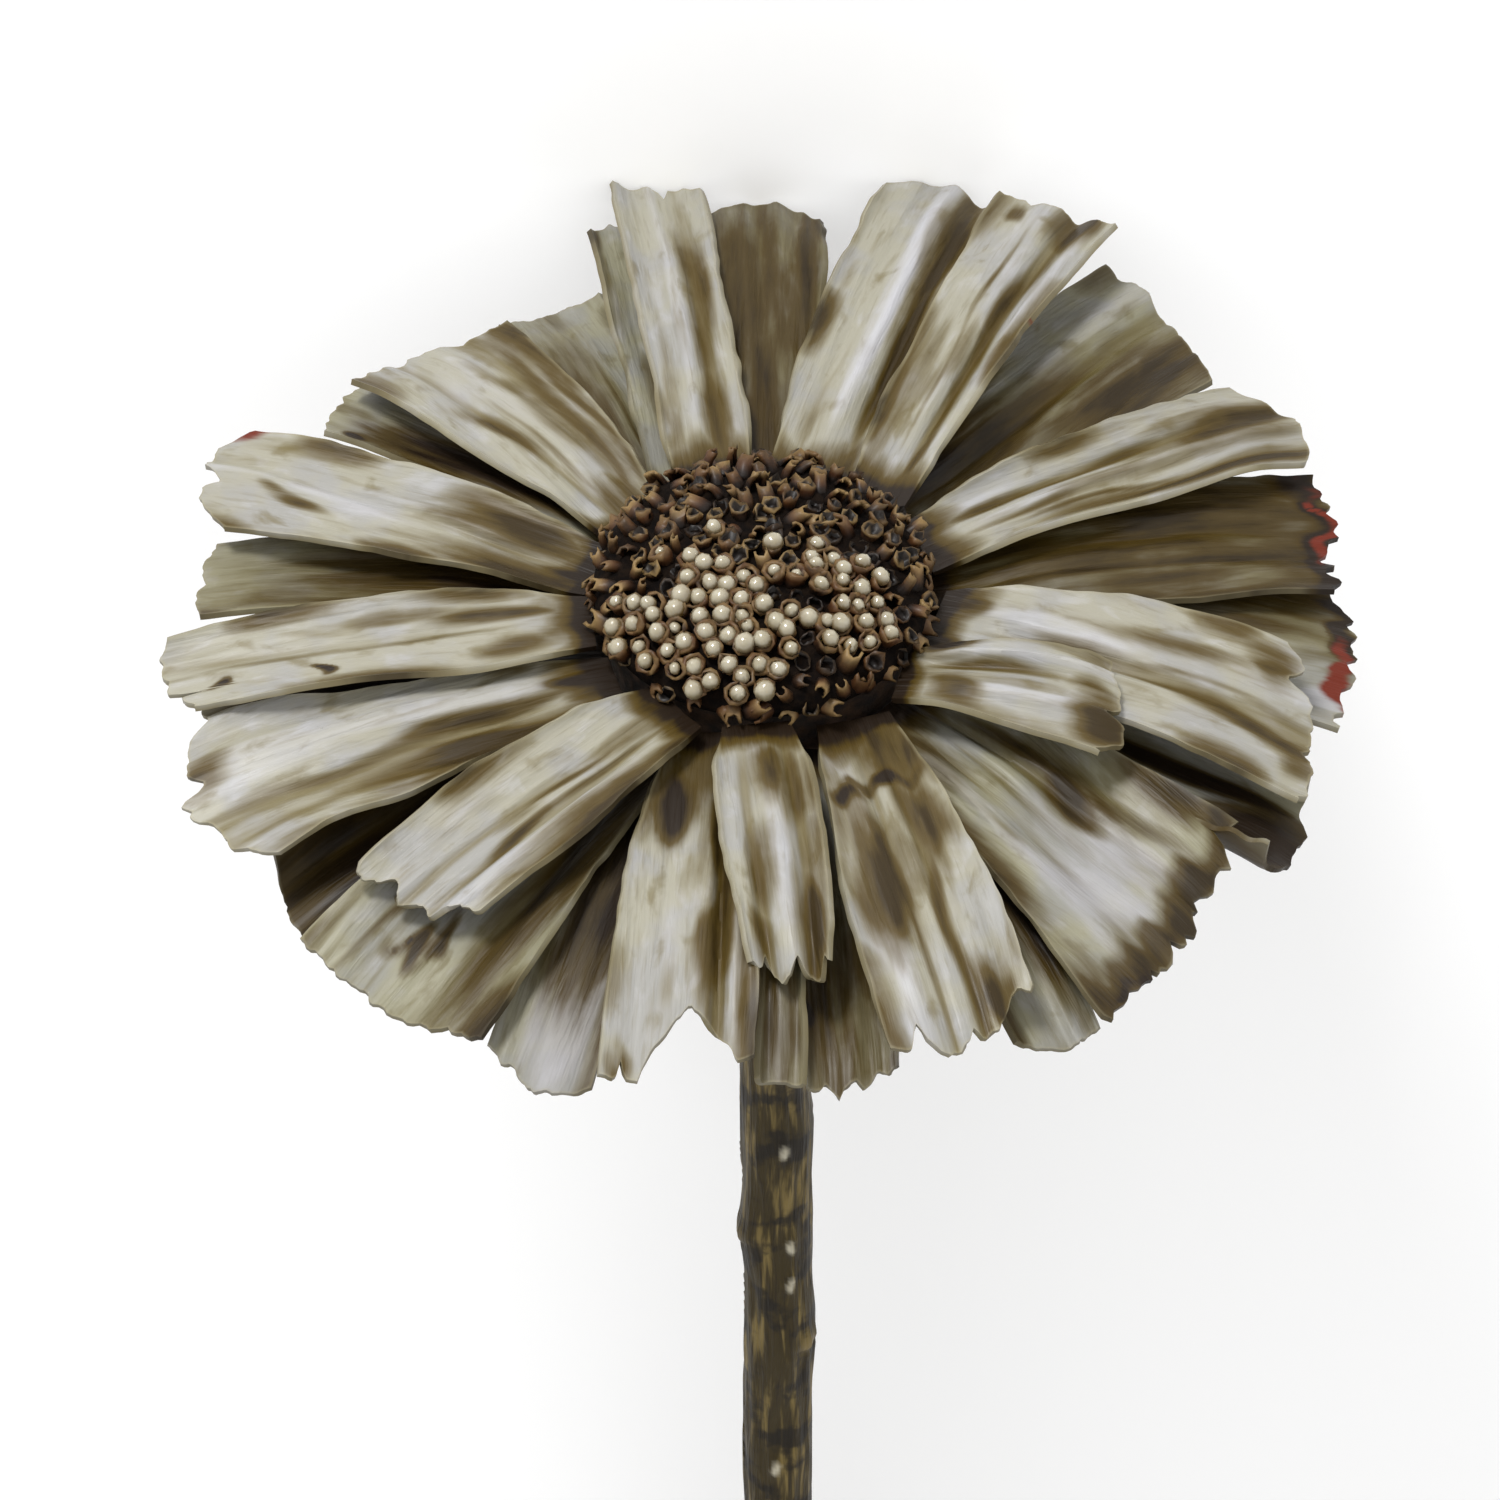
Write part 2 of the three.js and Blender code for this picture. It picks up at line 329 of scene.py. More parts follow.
def fibre_streaks(tree: Tree, layers: tuple[tuple[float, ...], ...], swirl: float) -> list[Socket]:
    """Draws noise out along the fibres of the piece's own fibre map.

    Args:
        tree: node tree.
        layers: for each layer the length and width of a streak in mm, and the noise's detail.
        swirl: how much the streaks are distorted.

    Returns:
        The value of each layer.
    """
    uv = add_node(tree, "UVMap", uv_map=FIBRE_MAP).outputs["UV"]
    streaks = []
    for along_mm, across_mm, detail in layers:
        scale = (FIBRE_MAP_SPAN / along_mm, FIBRE_MAP_SPAN / across_mm, 1.0)
        mapped = add_node(tree, "Mapping", {"Vector": uv, "Scale": scale}).outputs[0]
        noise = {"Vector": mapped, "Scale": 1.0, "Detail": detail, "Distortion": swirl}
        streaks.append(add_node(tree, "TexNoise", noise).outputs["Fac"])
    return streaks


def stored_channels(tree: Tree, name: str) -> list[Socket]:
    """Reads a colour attribute's red, green and blue, each as a value of its own."""
    colour = add_node(tree, "Attribute", attribute_name=name).outputs["Color"]
    return list(add_node(tree, "SeparateColor", {0: colour}).outputs)


def soft_masks(tree: Tree, rows: tuple[tuple, ...]) -> dict[str, Socket]:
    """Turns patterns into masks that rise smoothly between two of their values.

    Args:
        tree: node tree.
        rows: mask's name, pattern, value where it starts, value where it is full, full strength.

    Returns:
        Each mask by its name.
    """
    masks = {}
    for name, pattern, low, high, top in rows:
        limits = {0: pattern, 1: low, 2: high, 3: 0.0, 4: top}
        masks[name] = add_node(tree, "MapRange", limits, interpolation_type="SMOOTHSTEP").outputs[0]
    return masks


def layered_colour(tree: Tree, base: str, layers: list[tuple[Socket, str]]) -> Socket:
    """Lays colours over a base, each through its own mask.

    Args:
        tree: node tree.
        base: sRGB hex colour at the bottom.
        layers: mask and sRGB hex colour, from the bottom up.

    Returns:
        The top colour.
    """
    colour = linear_colour(base)
    for mask, code in layers:
        mix = {0: mask, 6: colour, 7: linear_colour(code)}
        colour = add_node(tree, "Mix", mix, data_type="RGBA").outputs[2]
    return colour


@dataclass(frozen=True)
class WaxedLeafFinish:
    """Dried leathery bract dipped in clear wax.

    Fibres run lengthwise as fine streaks, tannin shows through as olive and brown patches with
    soft, streaky edges, and the wax gives a broad semi-gloss sheen. Olive in the grooves is painted shade
    and the milky colour on the ridges a painted sheen.

    Attributes:
        pale: clean bract.
        cool: clean bract where the wax looks grey.
        olive: streaks, painted shade in the grooves and the faint outer part of a stain.
        brown: a stain.
        deep: the middle of a strong stain.
        back: the side away from the face, darker partly as painted shade in the gaps between bracts.
        bloom_and_sheen: milky wax, with painted sheen on the ridges and painted highlights.
        edge: edges, tinted as wear and as painted highlight where they catch light.
        olive_share: how much more of the bract the wide olive streaks take.
    """

    name: str
    pale: str
    cool: str
    olive: str
    brown: str
    deep: str
    back: str
    bloom_and_sheen: str
    edge: str
    olive_share: float
    stain_and_shade_black: str = "#1a1006"
    char: str = "#5c1d0b"
    streak_mm: float = 1.3  # width of the broad streaks
    fibre_mm: float = 0.4  # width of the fine fibres, as fine as the render shows
    blotch_mm: float = 7.0  # size of the warm and cool clouds in the wax
    relief_mm: float = 0.25

    def patterns(self, tree: Tree) -> dict[str, Socket]:
        """Draws the streaks of the fibres and the clouds of the wax.

        Args:
            tree: node tree.

        Returns:
            Each pattern by its name.
        """
        widths = (
            (8.0, self.streak_mm, 3.0),
            (4.0, self.fibre_mm, 2.0),
            (15.0, self.streak_mm * 2.4, 2.0),
            (4.2, self.streak_mm * 1.7, 4.0),
        )
        streaks = fibre_streaks(tree, widths, 0.35)
        patterns = dict(zip(("broad", "fine", "wide", "mottle"), streaks, strict=True))
        place = add_node(tree, "TexCoord").outputs["Object"]
        clouds = {"Vector": place, "Scale": 1 / (self.blotch_mm * MM), "Detail": 3.0}
        patterns["clouds"] = add_node(tree, "TexNoise", clouds).outputs["Fac"]
        return patterns

    def masks(self, tree: Tree, patterns: dict[str, Socket]) -> dict[str, Socket]:
        """Finds where each colour of the bract lies.

        Args:
            tree: node tree.
            patterns: the streaks and clouds.

        Returns:
            Each mask by its name.
        """
        broad, fine, mottle = patterns["broad"], patterns["fine"], patterns["mottle"]
        # The fibres break up every patch: a stain is strong in one streak and weak in the next.
        grain = 0.05
        for pattern, weight in ((fine, 0.5), (broad, 0.7), (mottle, 0.8)):
            sum_up = {0: pattern, 1: weight, 2: grain}
            grain = add_node(tree, "Math", sum_up, operation="MULTIPLY_ADD").outputs[0]
        char, edge, back = stored_channels(tree, MARKS)
        brown, dark, bloom_and_sheen, burnt = (
            add_node(tree, "Math", {0: stain, 1: grain}, operation="MULTIPLY").outputs[0]
            for stain in (*stored_channels(tree, TONES), char)
        )
        ridge = add_node(tree, "Attribute", attribute_name=RIDGE).outputs["Fac"]
        ridge = add_node(tree, "Math", {0: broad, 1: 0.5, 2: ridge}, operation="MULTIPLY_ADD").outputs[0]
        return soft_masks(
            tree,
            (
                ("cool", patterns["clouds"], 0.42, 0.62, 0.85),
                ("olive", patterns["wide"], 0.66 - self.olive_share, 0.84 - self.olive_share, 0.7),
                ("streak", broad, 0.54, 0.76, 0.40),
                ("mottle", mottle, 0.56, 0.74, 0.60),
                ("milk", mottle, 0.46, 0.28, 0.25),
                # Olive in the grooves is painted shade; the milky colour on the ridges is a painted sheen.
                ("groove", ridge, 0.60, 0.16, 0.80),
                ("crest", ridge, 0.95, 1.35, 0.38),
                ("halo", brown, 0.05, 0.36, 0.5),
                ("brown", brown, 0.13, 0.72, 0.94),
                # Near-black: stains, and painted shade at the roots, in folds and gaps and on the rear
                # bracts.
                ("dark_halo", dark, 0.02, 0.35, 0.95),
                ("deep", brown, 0.62, 1.25, 0.8),
                ("dark", dark, 0.25, 0.75, 0.97),
                # Milky wax, partly painted highlights.
                ("bloom_and_sheen", bloom_and_sheen, 0.25, 1.1, 0.62),
                ("char", burnt, 0.35, 0.85, 1.0),
                ("fibre", fine, 0.56, 0.72, 0.22),
                # Edges: partly wear, partly painted highlight where they catch light.
                ("edge", edge, 0.5, 1.0, 0.35),
                # The darker back is partly painted shade, seen in the gaps between bracts.
                ("back", back, 0.0, 1.0, 0.8),
            ),
        )

    def build(self) -> bpy.types.Material:
        """Builds this finish.

        Returns:
            The material.
        """
        material, tree = new_material(self.name)
        patterns = self.patterns(tree)
        masks = self.masks(tree, patterns)
        # Among these layers the grooves, the back and the near-black marks carry painted shade, and the
        # ridges, the milky marks and the edges painted sheen and highlights.
        layers = (
            ("cool", self.cool), ("back", self.back), ("milk", self.bloom_and_sheen), ("crest", self.bloom_and_sheen),
            ("fibre", self.olive), ("mottle", self.olive), ("olive", self.olive),
            ("streak", self.olive), ("groove", self.olive), ("bloom_and_sheen", self.bloom_and_sheen), ("halo", self.olive),
            ("brown", self.brown), ("edge", self.edge), ("dark_halo", self.brown), ("deep", self.deep),
            ("dark", self.stain_and_shade_black), ("char", self.char),
        )
        colour = layered_colour(tree, self.pale, [(masks[name], code) for name, code in layers])
        gloss = {0: patterns["clouds"], 1: 0.3, 2: 0.7, 3: 0.42, 4: 0.6}
        fibres = {0: patterns["broad"], 1: 0.6, 2: patterns["fine"]}
        relief = add_node(tree, "Math", fibres, operation="MULTIPLY_ADD").outputs[0]
        bump = {"Strength": 0.45, "Distance": self.relief_mm * MM, "Height": relief}
        shader = add_node(
            tree,
            "BsdfPrincipled",
            {
                "Base Color": colour,
                "Roughness": add_node(tree, "MapRange", gloss).outputs[0],
                "Normal": add_node(tree, "Bump", bump).outputs[0],
                "Specular IOR Level": 0.18,
                "Coat Weight": 0.07,
                "Coat Roughness": 0.2,
                "Coat IOR": 1.43,
            },
        )
        add_node(tree, "OutputMaterial", {"Surface": shader.outputs[0]})
        return material


INNER_WAX = WaxedLeafFinish(
    name="waxed_inner_bract",
    pale="#8b887a",
    cool="#868582",
    olive="#5e5330",
    brown="#43340b",
    deep="#221703",
    back="#564c32",
    bloom_and_sheen="#aaaab0",
    edge="#8c856b",
    olive_share=0.06,
)
# Darker and greyer than the inner wax: painted shade on the outer row, which lies behind the inner bracts.
OUTER_WAX = WaxedLeafFinish(
    name="waxed_outer_bract",
    pale="#7d7a66",
    cool="#777670",
    olive="#524823",
    brown="#392b08",
    deep="#1c1305",
    back="#4c4329",
    bloom_and_sheen="#99989c",
    edge="#7f7860",
    olive_share=0.10,
)
SCALE_WAX = WaxedLeafFinish(
    name="waxed_base_scale",
    pale="#857855",
    cool="#706648",
    olive="#544727",
    brown="#3f2f15",
    deep="#221607",
    back="#5f5132",
    bloom_and_sheen="#8f8872",
    edge="#a19674",
    olive_share=0.12,
)


@dataclass(frozen=True)
class DryWoodFinish:
    """Dry plant wood: the cup, the floret bed and the stubs, brown with darker pores."""

    name: str
    light: str
    dark: str
    grain_mm: float
    roughness: float
    bump_mm: float
    height_tint: bool = False  # redder, paler and darker places from the tones attribute; the darker ones are painted shade in hollows, at feet and in pits
    wax: float = 0.15  # weight of the wax coat
    specular: float = 0.5

    def build(self) -> bpy.types.Material:
        """Builds this finish.

        Returns:
            The material.
        """
        material, tree = new_material(self.name)
        place = add_node(tree, "TexCoord").outputs["Object"]
        pores = {"Vector": place, "Scale": 1 / (self.grain_mm * MM), "Detail": 4.0, "Roughness": 0.6}
        noise = add_node(tree, "TexNoise", pores).outputs["Fac"]
        layers = [(soft_masks(tree, (("light", noise, 0.35, 0.68, 1.0),))["light"], self.light)]
        if self.height_tint:
            paler, darker, redder = stored_channels(tree, TONES)
            # Darker: painted shade inside the hollows, at the feet and in the pits.
            layers += [(redder, "#44260f"), (paler, "#7d6640"), (darker, "#0d0704")]
        bump = {"Strength": 0.6, "Distance": self.bump_mm * MM, "Height": noise}
        shader = add_node(
            tree,
            "BsdfPrincipled",
            {
                "Base Color": layered_colour(tree, self.dark, layers),
                "Roughness": self.roughness,
                "Normal": add_node(tree, "Bump", bump).outputs[0],
                "IOR": 1.45,
                "Specular IOR Level": self.specular,
                "Coat Weight": self.wax,
                "Coat Roughness": 0.3,
            },
        )
        add_node(tree, "OutputMaterial", {"Surface": shader.outputs[0]})
        return material


@dataclass(frozen=True)
class WaxBeadFinish:
    """Beads of poured candle wax: off-white, pearly, smooth, with a warm dim inside."""

    name: str = "poured_wax_beads"
    clouds_per_mm: float = 0.9

    def build(self) -> bpy.types.Material:
        """Builds this finish.

        Returns:
            The material.
        """
        material, tree = new_material(self.name)
        place = add_node(tree, "TexCoord").outputs["Object"]
        noise = {"Vector": place, "Scale": self.clouds_per_mm / MM, "Detail": 2.0}
        clouds = add_node(tree, "TexNoise", noise).outputs["Fac"]
        # Brown towards each bead's foot, round its pale cap: painted shade.
        foot = stored_channels(tree, TONES)[0]
        shader = add_node(
            tree,
            "BsdfPrincipled",
            {
                "Base Color": layered_colour(tree, "#837a5c", [(clouds, "#b8b3a2"), (foot, "#54401c")]),
                "Roughness": 0.18,
                "IOR": 1.5,
                "Subsurface Weight": 0.1,
                "Subsurface Radius": (0.6, 0.45, 0.3),
                "Subsurface Scale": 1.0 * MM,
                "Coat Weight": 0.7,
                "Coat Roughness": 0.06,
            },
        )
        add_node(tree, "OutputMaterial", {"Surface": shader.outputs[0]})
        return material


@dataclass(frozen=True)
class WaxedBarkFinish:
    """Thin smooth bark of a protea shoot under a little wax.

    Olive-brown with lengthwise tan and near-black streaks, darker round the leaf scars, and
    small raised drops of wax, pale partly as milky wax and partly as painted glints.
    """

    name: str = "waxed_bark"
    streak_mm: float = 0.9
    fibre_mm: float = 0.35
    blotch_mm: float = 3.4
    relief_mm: float = 0.35

    def build(self) -> bpy.types.Material:
        """Builds this finish.

        Returns:
            The material.
        """
        material, tree = new_material(self.name)
        widths = ((9.0, self.streak_mm, 4.0), (5.0, self.fibre_mm, 2.0))
        broad, fine = fibre_streaks(tree, widths, 0.4)
        place = add_node(tree, "TexCoord").outputs["Object"]
        noise = {"Vector": place, "Scale": 1 / (self.blotch_mm * MM), "Detail": 4.0}
        blotch = add_node(tree, "TexNoise", noise).outputs["Fac"]
        rows = (
            ("tan", broad, 0.48, 0.68, 0.9),
            ("dark", blotch, 0.48, 0.62, 0.85),
            ("fine", fine, 0.52, 0.68, 0.6),
        )
        masks = soft_masks(tree, rows)
        scar, pad, drop = stored_channels(tree, TONES)
        layers = [
            (masks["tan"], "#756438"),
            (masks["fine"], "#211807"),
            (masks["dark"], "#120c05"),
            (scar, "#120c06"),
            (pad, "#7d6c45"),
            # Pale drops: partly milky wax, partly painted glints.
            (drop, "#c9c2ac"),
        ]
        relief = add_node(tree, "Math", {0: broad, 1: 0.8, 2: fine}, operation="MULTIPLY_ADD").outputs[0]
        bump = {"Strength": 0.7, "Distance": self.relief_mm * MM, "Height": relief}
        shader = add_node(
            tree,
            "BsdfPrincipled",
            {
                "Base Color": layered_colour(tree, "#33290d", layers),
                "Roughness": 0.5,
                "Normal": add_node(tree, "Bump", bump).outputs[0],
                "IOR": 1.45,
                "Specular IOR Level": 0.15,
                "Coat Weight": 0.03,
                "Coat Roughness": 0.25,
            },
        )
        add_node(tree, "OutputMaterial", {"Surface": shader.outputs[0]})
        return material


# ---- Bracts and scales ----


class Tone(Enum):
    """What a mark on a bract looks like; the near-black marks are partly painted shade and the milky ones
    partly painted highlights.
    """

    BROWN = "brown"
    DARK = "dark"
    BLOOM = "bloom_and_sheen"
    CHAR = "char"


BROWN, DARK, BLOOM, CHAR = Tone


@dataclass(frozen=True)
class Stain:
    """A soft patch on a bract.

    Attributes:
        tone: its colour.
        along: its middle, from 0 at the root to 1 at the tip.
        across: its middle, from -1 at the clockwise edge to 1 at the other edge.
        length: half of its length, as a share of the bract.
        width: half of its width, as a share of half of the bract's width.
        strength: how strong it is at its middle.
        slope: how far across it drifts per unit along.
    """

    BROWN_SPREAD = 1.38  # tannin creeps this much further than the place it comes from

    tone: Tone
    along: float
    across: float
    length: float
    width: float
    strength: float = 1.0
    slope: float = 0.0

    def at(self, along: Array, across: Array) -> Array:
        """Finds the strength of the stain at points of the bract.

        Args:
            along: 0 at the root to 1 at the tip.
            across: -1 at the clockwise edge to 1 at the other.

        Returns:
            Strengths from 0 to the stain's own.
        """
        step = along - self.along
        aside = across - self.across - self.slope * step
        spread = self.BROWN_SPREAD if self.tone is Tone.BROWN else 1.0
        distance = np.hypot(step / self.length, aside / self.width) / spread
        return self.strength * np.exp(-0.9 * distance**2)


@dataclass(frozen=True)
class Notch:
    """A bite or tear in the tip: its middle across, half width, depth in mm and squareness."""

    across: float
    width: float
    depth: float
    squareness: float = 1.0

    def at(self, across: Array) -> Array:
        """Depth of the notch in mm at points across the tip."""
        inside = np.clip(1 - np.abs(across - self.across) / self.width, 0, 1)
        return self.depth * inside ** (1 / self.squareness)


@dataclass(frozen=True)
class Fold:
    """A lengthwise ridge (positive) or groove (negative) in mm, at a place across."""

    across: float
    width: float
    height: float
    drift: float = 0.0

    def at(self, along: Array, across: Array) -> Array:
        """Height of the fold at points of the bract."""
        aside = (across - self.across - self.drift * along) / self.width
        return self.height * np.exp(-(aside**2)) * smoothstep(0.0, 0.3, along)


@dataclass(frozen=True)
class LeafShape:
    """How one bract differs from its plain plate; lengths in mm.

    Attributes:
        stains: patches of colour.
        notches: bites in the tip.
        folds: ridges and grooves that run lengthwise.
        ragged: depth of the small tears along the tip.
        roll_left: how far the counter-clockwise edge rolls up towards the face.
        roll_right: how far the clockwise edge rolls up.
        tip_curl: how far the tip bends forward, or back if negative.
        widen: how much wider than its plate the bract spreads towards its tip.
    """

    stains: tuple[Stain, ...] = ()
    notches: tuple[Notch, ...] = ()
    folds: tuple[Fold, ...] = ()
    ragged: float = 0.7
    roll_left: float = 0.35
    roll_right: float = 0.35
    tip_curl: float = -0.6
    widen: float = 1.0


@dataclass
class PlateSurface:
    """Middle surface of a packed plate, as a patch between its four edges.

    Attributes:
        root: cubic coefficients of the root edge, from across -1 to 1.
        tip: the same for the tip.
        right: cubic coefficients of the clockwise edge, from along 0 to 1.
        left: the same for the counter-clockwise edge.
    """

    LONGEST_WALL = 1.3  # mm, just over the plates' thickness
    STEEPEST_SURFACE = 0.35  # rise of a wall's edge, as a share of its length, is over this
    REACH_WEIGHT = 0.001  # of two outlines that turn alike, the root is the end nearer the middle

    root: Array
    tip: Array
    right: Array
    left: Array

    @classmethod
    def outline(cls, points: Array, triangles: Array) -> Array:
        """Finds the middles of a plate's walls.

        Args:
            points: the plate's points in the flower's own mm.
            triangles: three point numbers for each triangle.

        Returns:
            One point per wall, counter-clockwise.
        """
        pairs = np.concatenate([triangles[:, [0, 1]], triangles[:, [1, 2]], triangles[:, [2, 0]]])
        pairs = np.unique(np.sort(pairs, axis=1), axis=0)
        step = points[pairs[:, 1]] - points[pairs[:, 0]]
        size = np.linalg.norm(step, axis=1)
        steep = np.abs(step[:, 2]) > cls.STEEPEST_SURFACE * size
        # Each point of the outline has one wall, the shortest steep edge that ends there.
        walls, taken = [], set()
        for number in np.argsort(size):
            pair = set(pairs[number].tolist())
            if steep[number] and size[number] < cls.LONGEST_WALL and not pair & taken:
                walls.append(pairs[number])
                taken |= pair
        edge = points[np.array(walls)].mean(1)
        spoke = edge - edge.mean(0)
        return edge[np.argsort(np.arctan2(spoke[:, 1], spoke[:, 0]))]

    @classmethod
    def root_corner(cls, edge: Array, long_steps: int, short_steps: int) -> int:
        """Finds where the root's counter-clockwise end is on an outline.

        Args:
            edge: points of the outline, counter-clockwise.
            long_steps: number of steps of the plate from root to tip.
            short_steps: number of steps across it.

        Returns:
            The number of the point.
        """
        before = edge - np.roll(edge, 1, axis=0)
        after = np.roll(edge, -1, axis=0) - edge
        turn = np.arctan2(
            before[:, 0] * after[:, 1] - before[:, 1] * after[:, 0],
            before[:, 0] * after[:, 0] + before[:, 1] * after[:, 1],
        )
        # The four corners are where the outline turns most.
        corners = (0, short_steps, short_steps + long_steps, 2 * short_steps + long_steps)
        bend = sum(np.roll(turn, -corner) for corner in corners)
        reach = np.hypot(edge[:, 0], edge[:, 1])
        return int(np.argmax(bend - cls.REACH_WEIGHT * (reach + np.roll(reach, -short_steps))))

    @classmethod
    def from_node(cls, node: str, head: HeadFrame, long_steps: int, short_steps: int) -> "PlateSurface":
        """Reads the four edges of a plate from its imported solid.

        Args:
            node: name of the plate's node.
            head: the flower's axes.
            long_steps: number of steps of the plate from root to tip.
            short_steps: number of steps across it.

        Returns:
            The middle surface.
        """
        metres, triangles = node_points(node)
        edge = cls.outline(head.local(metres), triangles)
        count = 2 * (long_steps + short_steps)
        if len(edge) != count:
            raise ValueError(f"{node} has {len(edge)} edge points, not {count}")
        ring = np.roll(edge, -cls.root_corner(edge, long_steps, short_steps), axis=0)
        ring = np.concatenate([ring, ring[:1]])
        root = ring[: short_steps + 1][::-1]
        right = ring[short_steps : short_steps + long_steps + 1]
        tip = ring[short_steps + long_steps : 2 * short_steps + long_steps + 1]
        left = ring[2 * short_steps + long_steps :][::-1]
        across = np.linspace(-1, 1, short_steps + 1)
        along = np.linspace(0, 1, long_steps + 1)
        return cls(
            np.polyfit(across, root, 2),
            np.polyfit(across, tip, 2),
            np.polyfit(along, right, 3),
            np.polyfit(along, left, 3),
        )

    @staticmethod
    def curve(coefficients: Array, t: Array) -> Array:
        """Finds points of one edge curve."""
        powers = np.stack([t**k for k in range(len(coefficients) - 1, -1, -1)], -1)
        return powers @ coefficients

    def point(self, along: Array, across: Array) -> Array:
        """Finds points of the middle surface in the flower's own mm.

        Args:
            along: 0 at the root to 1 at the tip.
            across: -1 at the clockwise edge to 1 at the other.

        Returns:
            One point per pair.
        """
        a = along[:, None]
        b = (across[:, None] + 1) / 2
        sides = (1 - b) * self.curve(self.right, along) + b * self.curve(self.left, along)
        ends = (1 - a) * self.curve(self.root, across) + a * self.curve(self.tip, across)
        first, last = np.array([-1.0]), np.array([1.0])
        corner = (
            (1 - a) * (1 - b) * self.curve(self.root, first)
            + (1 - a) * b * self.curve(self.root, last)
            + a * (1 - b) * self.curve(self.tip, first)
            + a * b * self.curve(self.tip, last)
        )
        return sides + ends - corner

    def normal(self, along: Array, across: Array) -> Array:
        """Finds unit normals on the side of the face.

        Args:
            along: 0 at the root to 1 at the tip.
            across: -1 at the clockwise edge to 1 at the other.

        Returns:
            One normal per pair.
        """
        step = 1e-3
        here = self.point(along, across)
        run = self.point(along + step, across) - here
        aside = self.point(along, across + step) - here
        normal = np.cross(run, aside)
        return normal / np.linalg.norm(normal, axis=1, keepdims=True)

    def length(self) -> float:
        """Measures the middle line in mm."""
        ends = self.point(np.array([0.0, 1.0]), np.zeros(2))
        return float(np.linalg.norm(ends[1] - ends[0]))

    def half_width(self, along: Array) -> Array:
        """Measures half of the width.

        Args:
            along: places from 0 at the root to 1 at the tip.

        Returns:
            Half widths in mm.
        """
        left = self.point(along, np.ones_like(along))
        right = self.point(along, -np.ones_like(along))
        return np.linalg.norm(left - right, axis=1) / 2


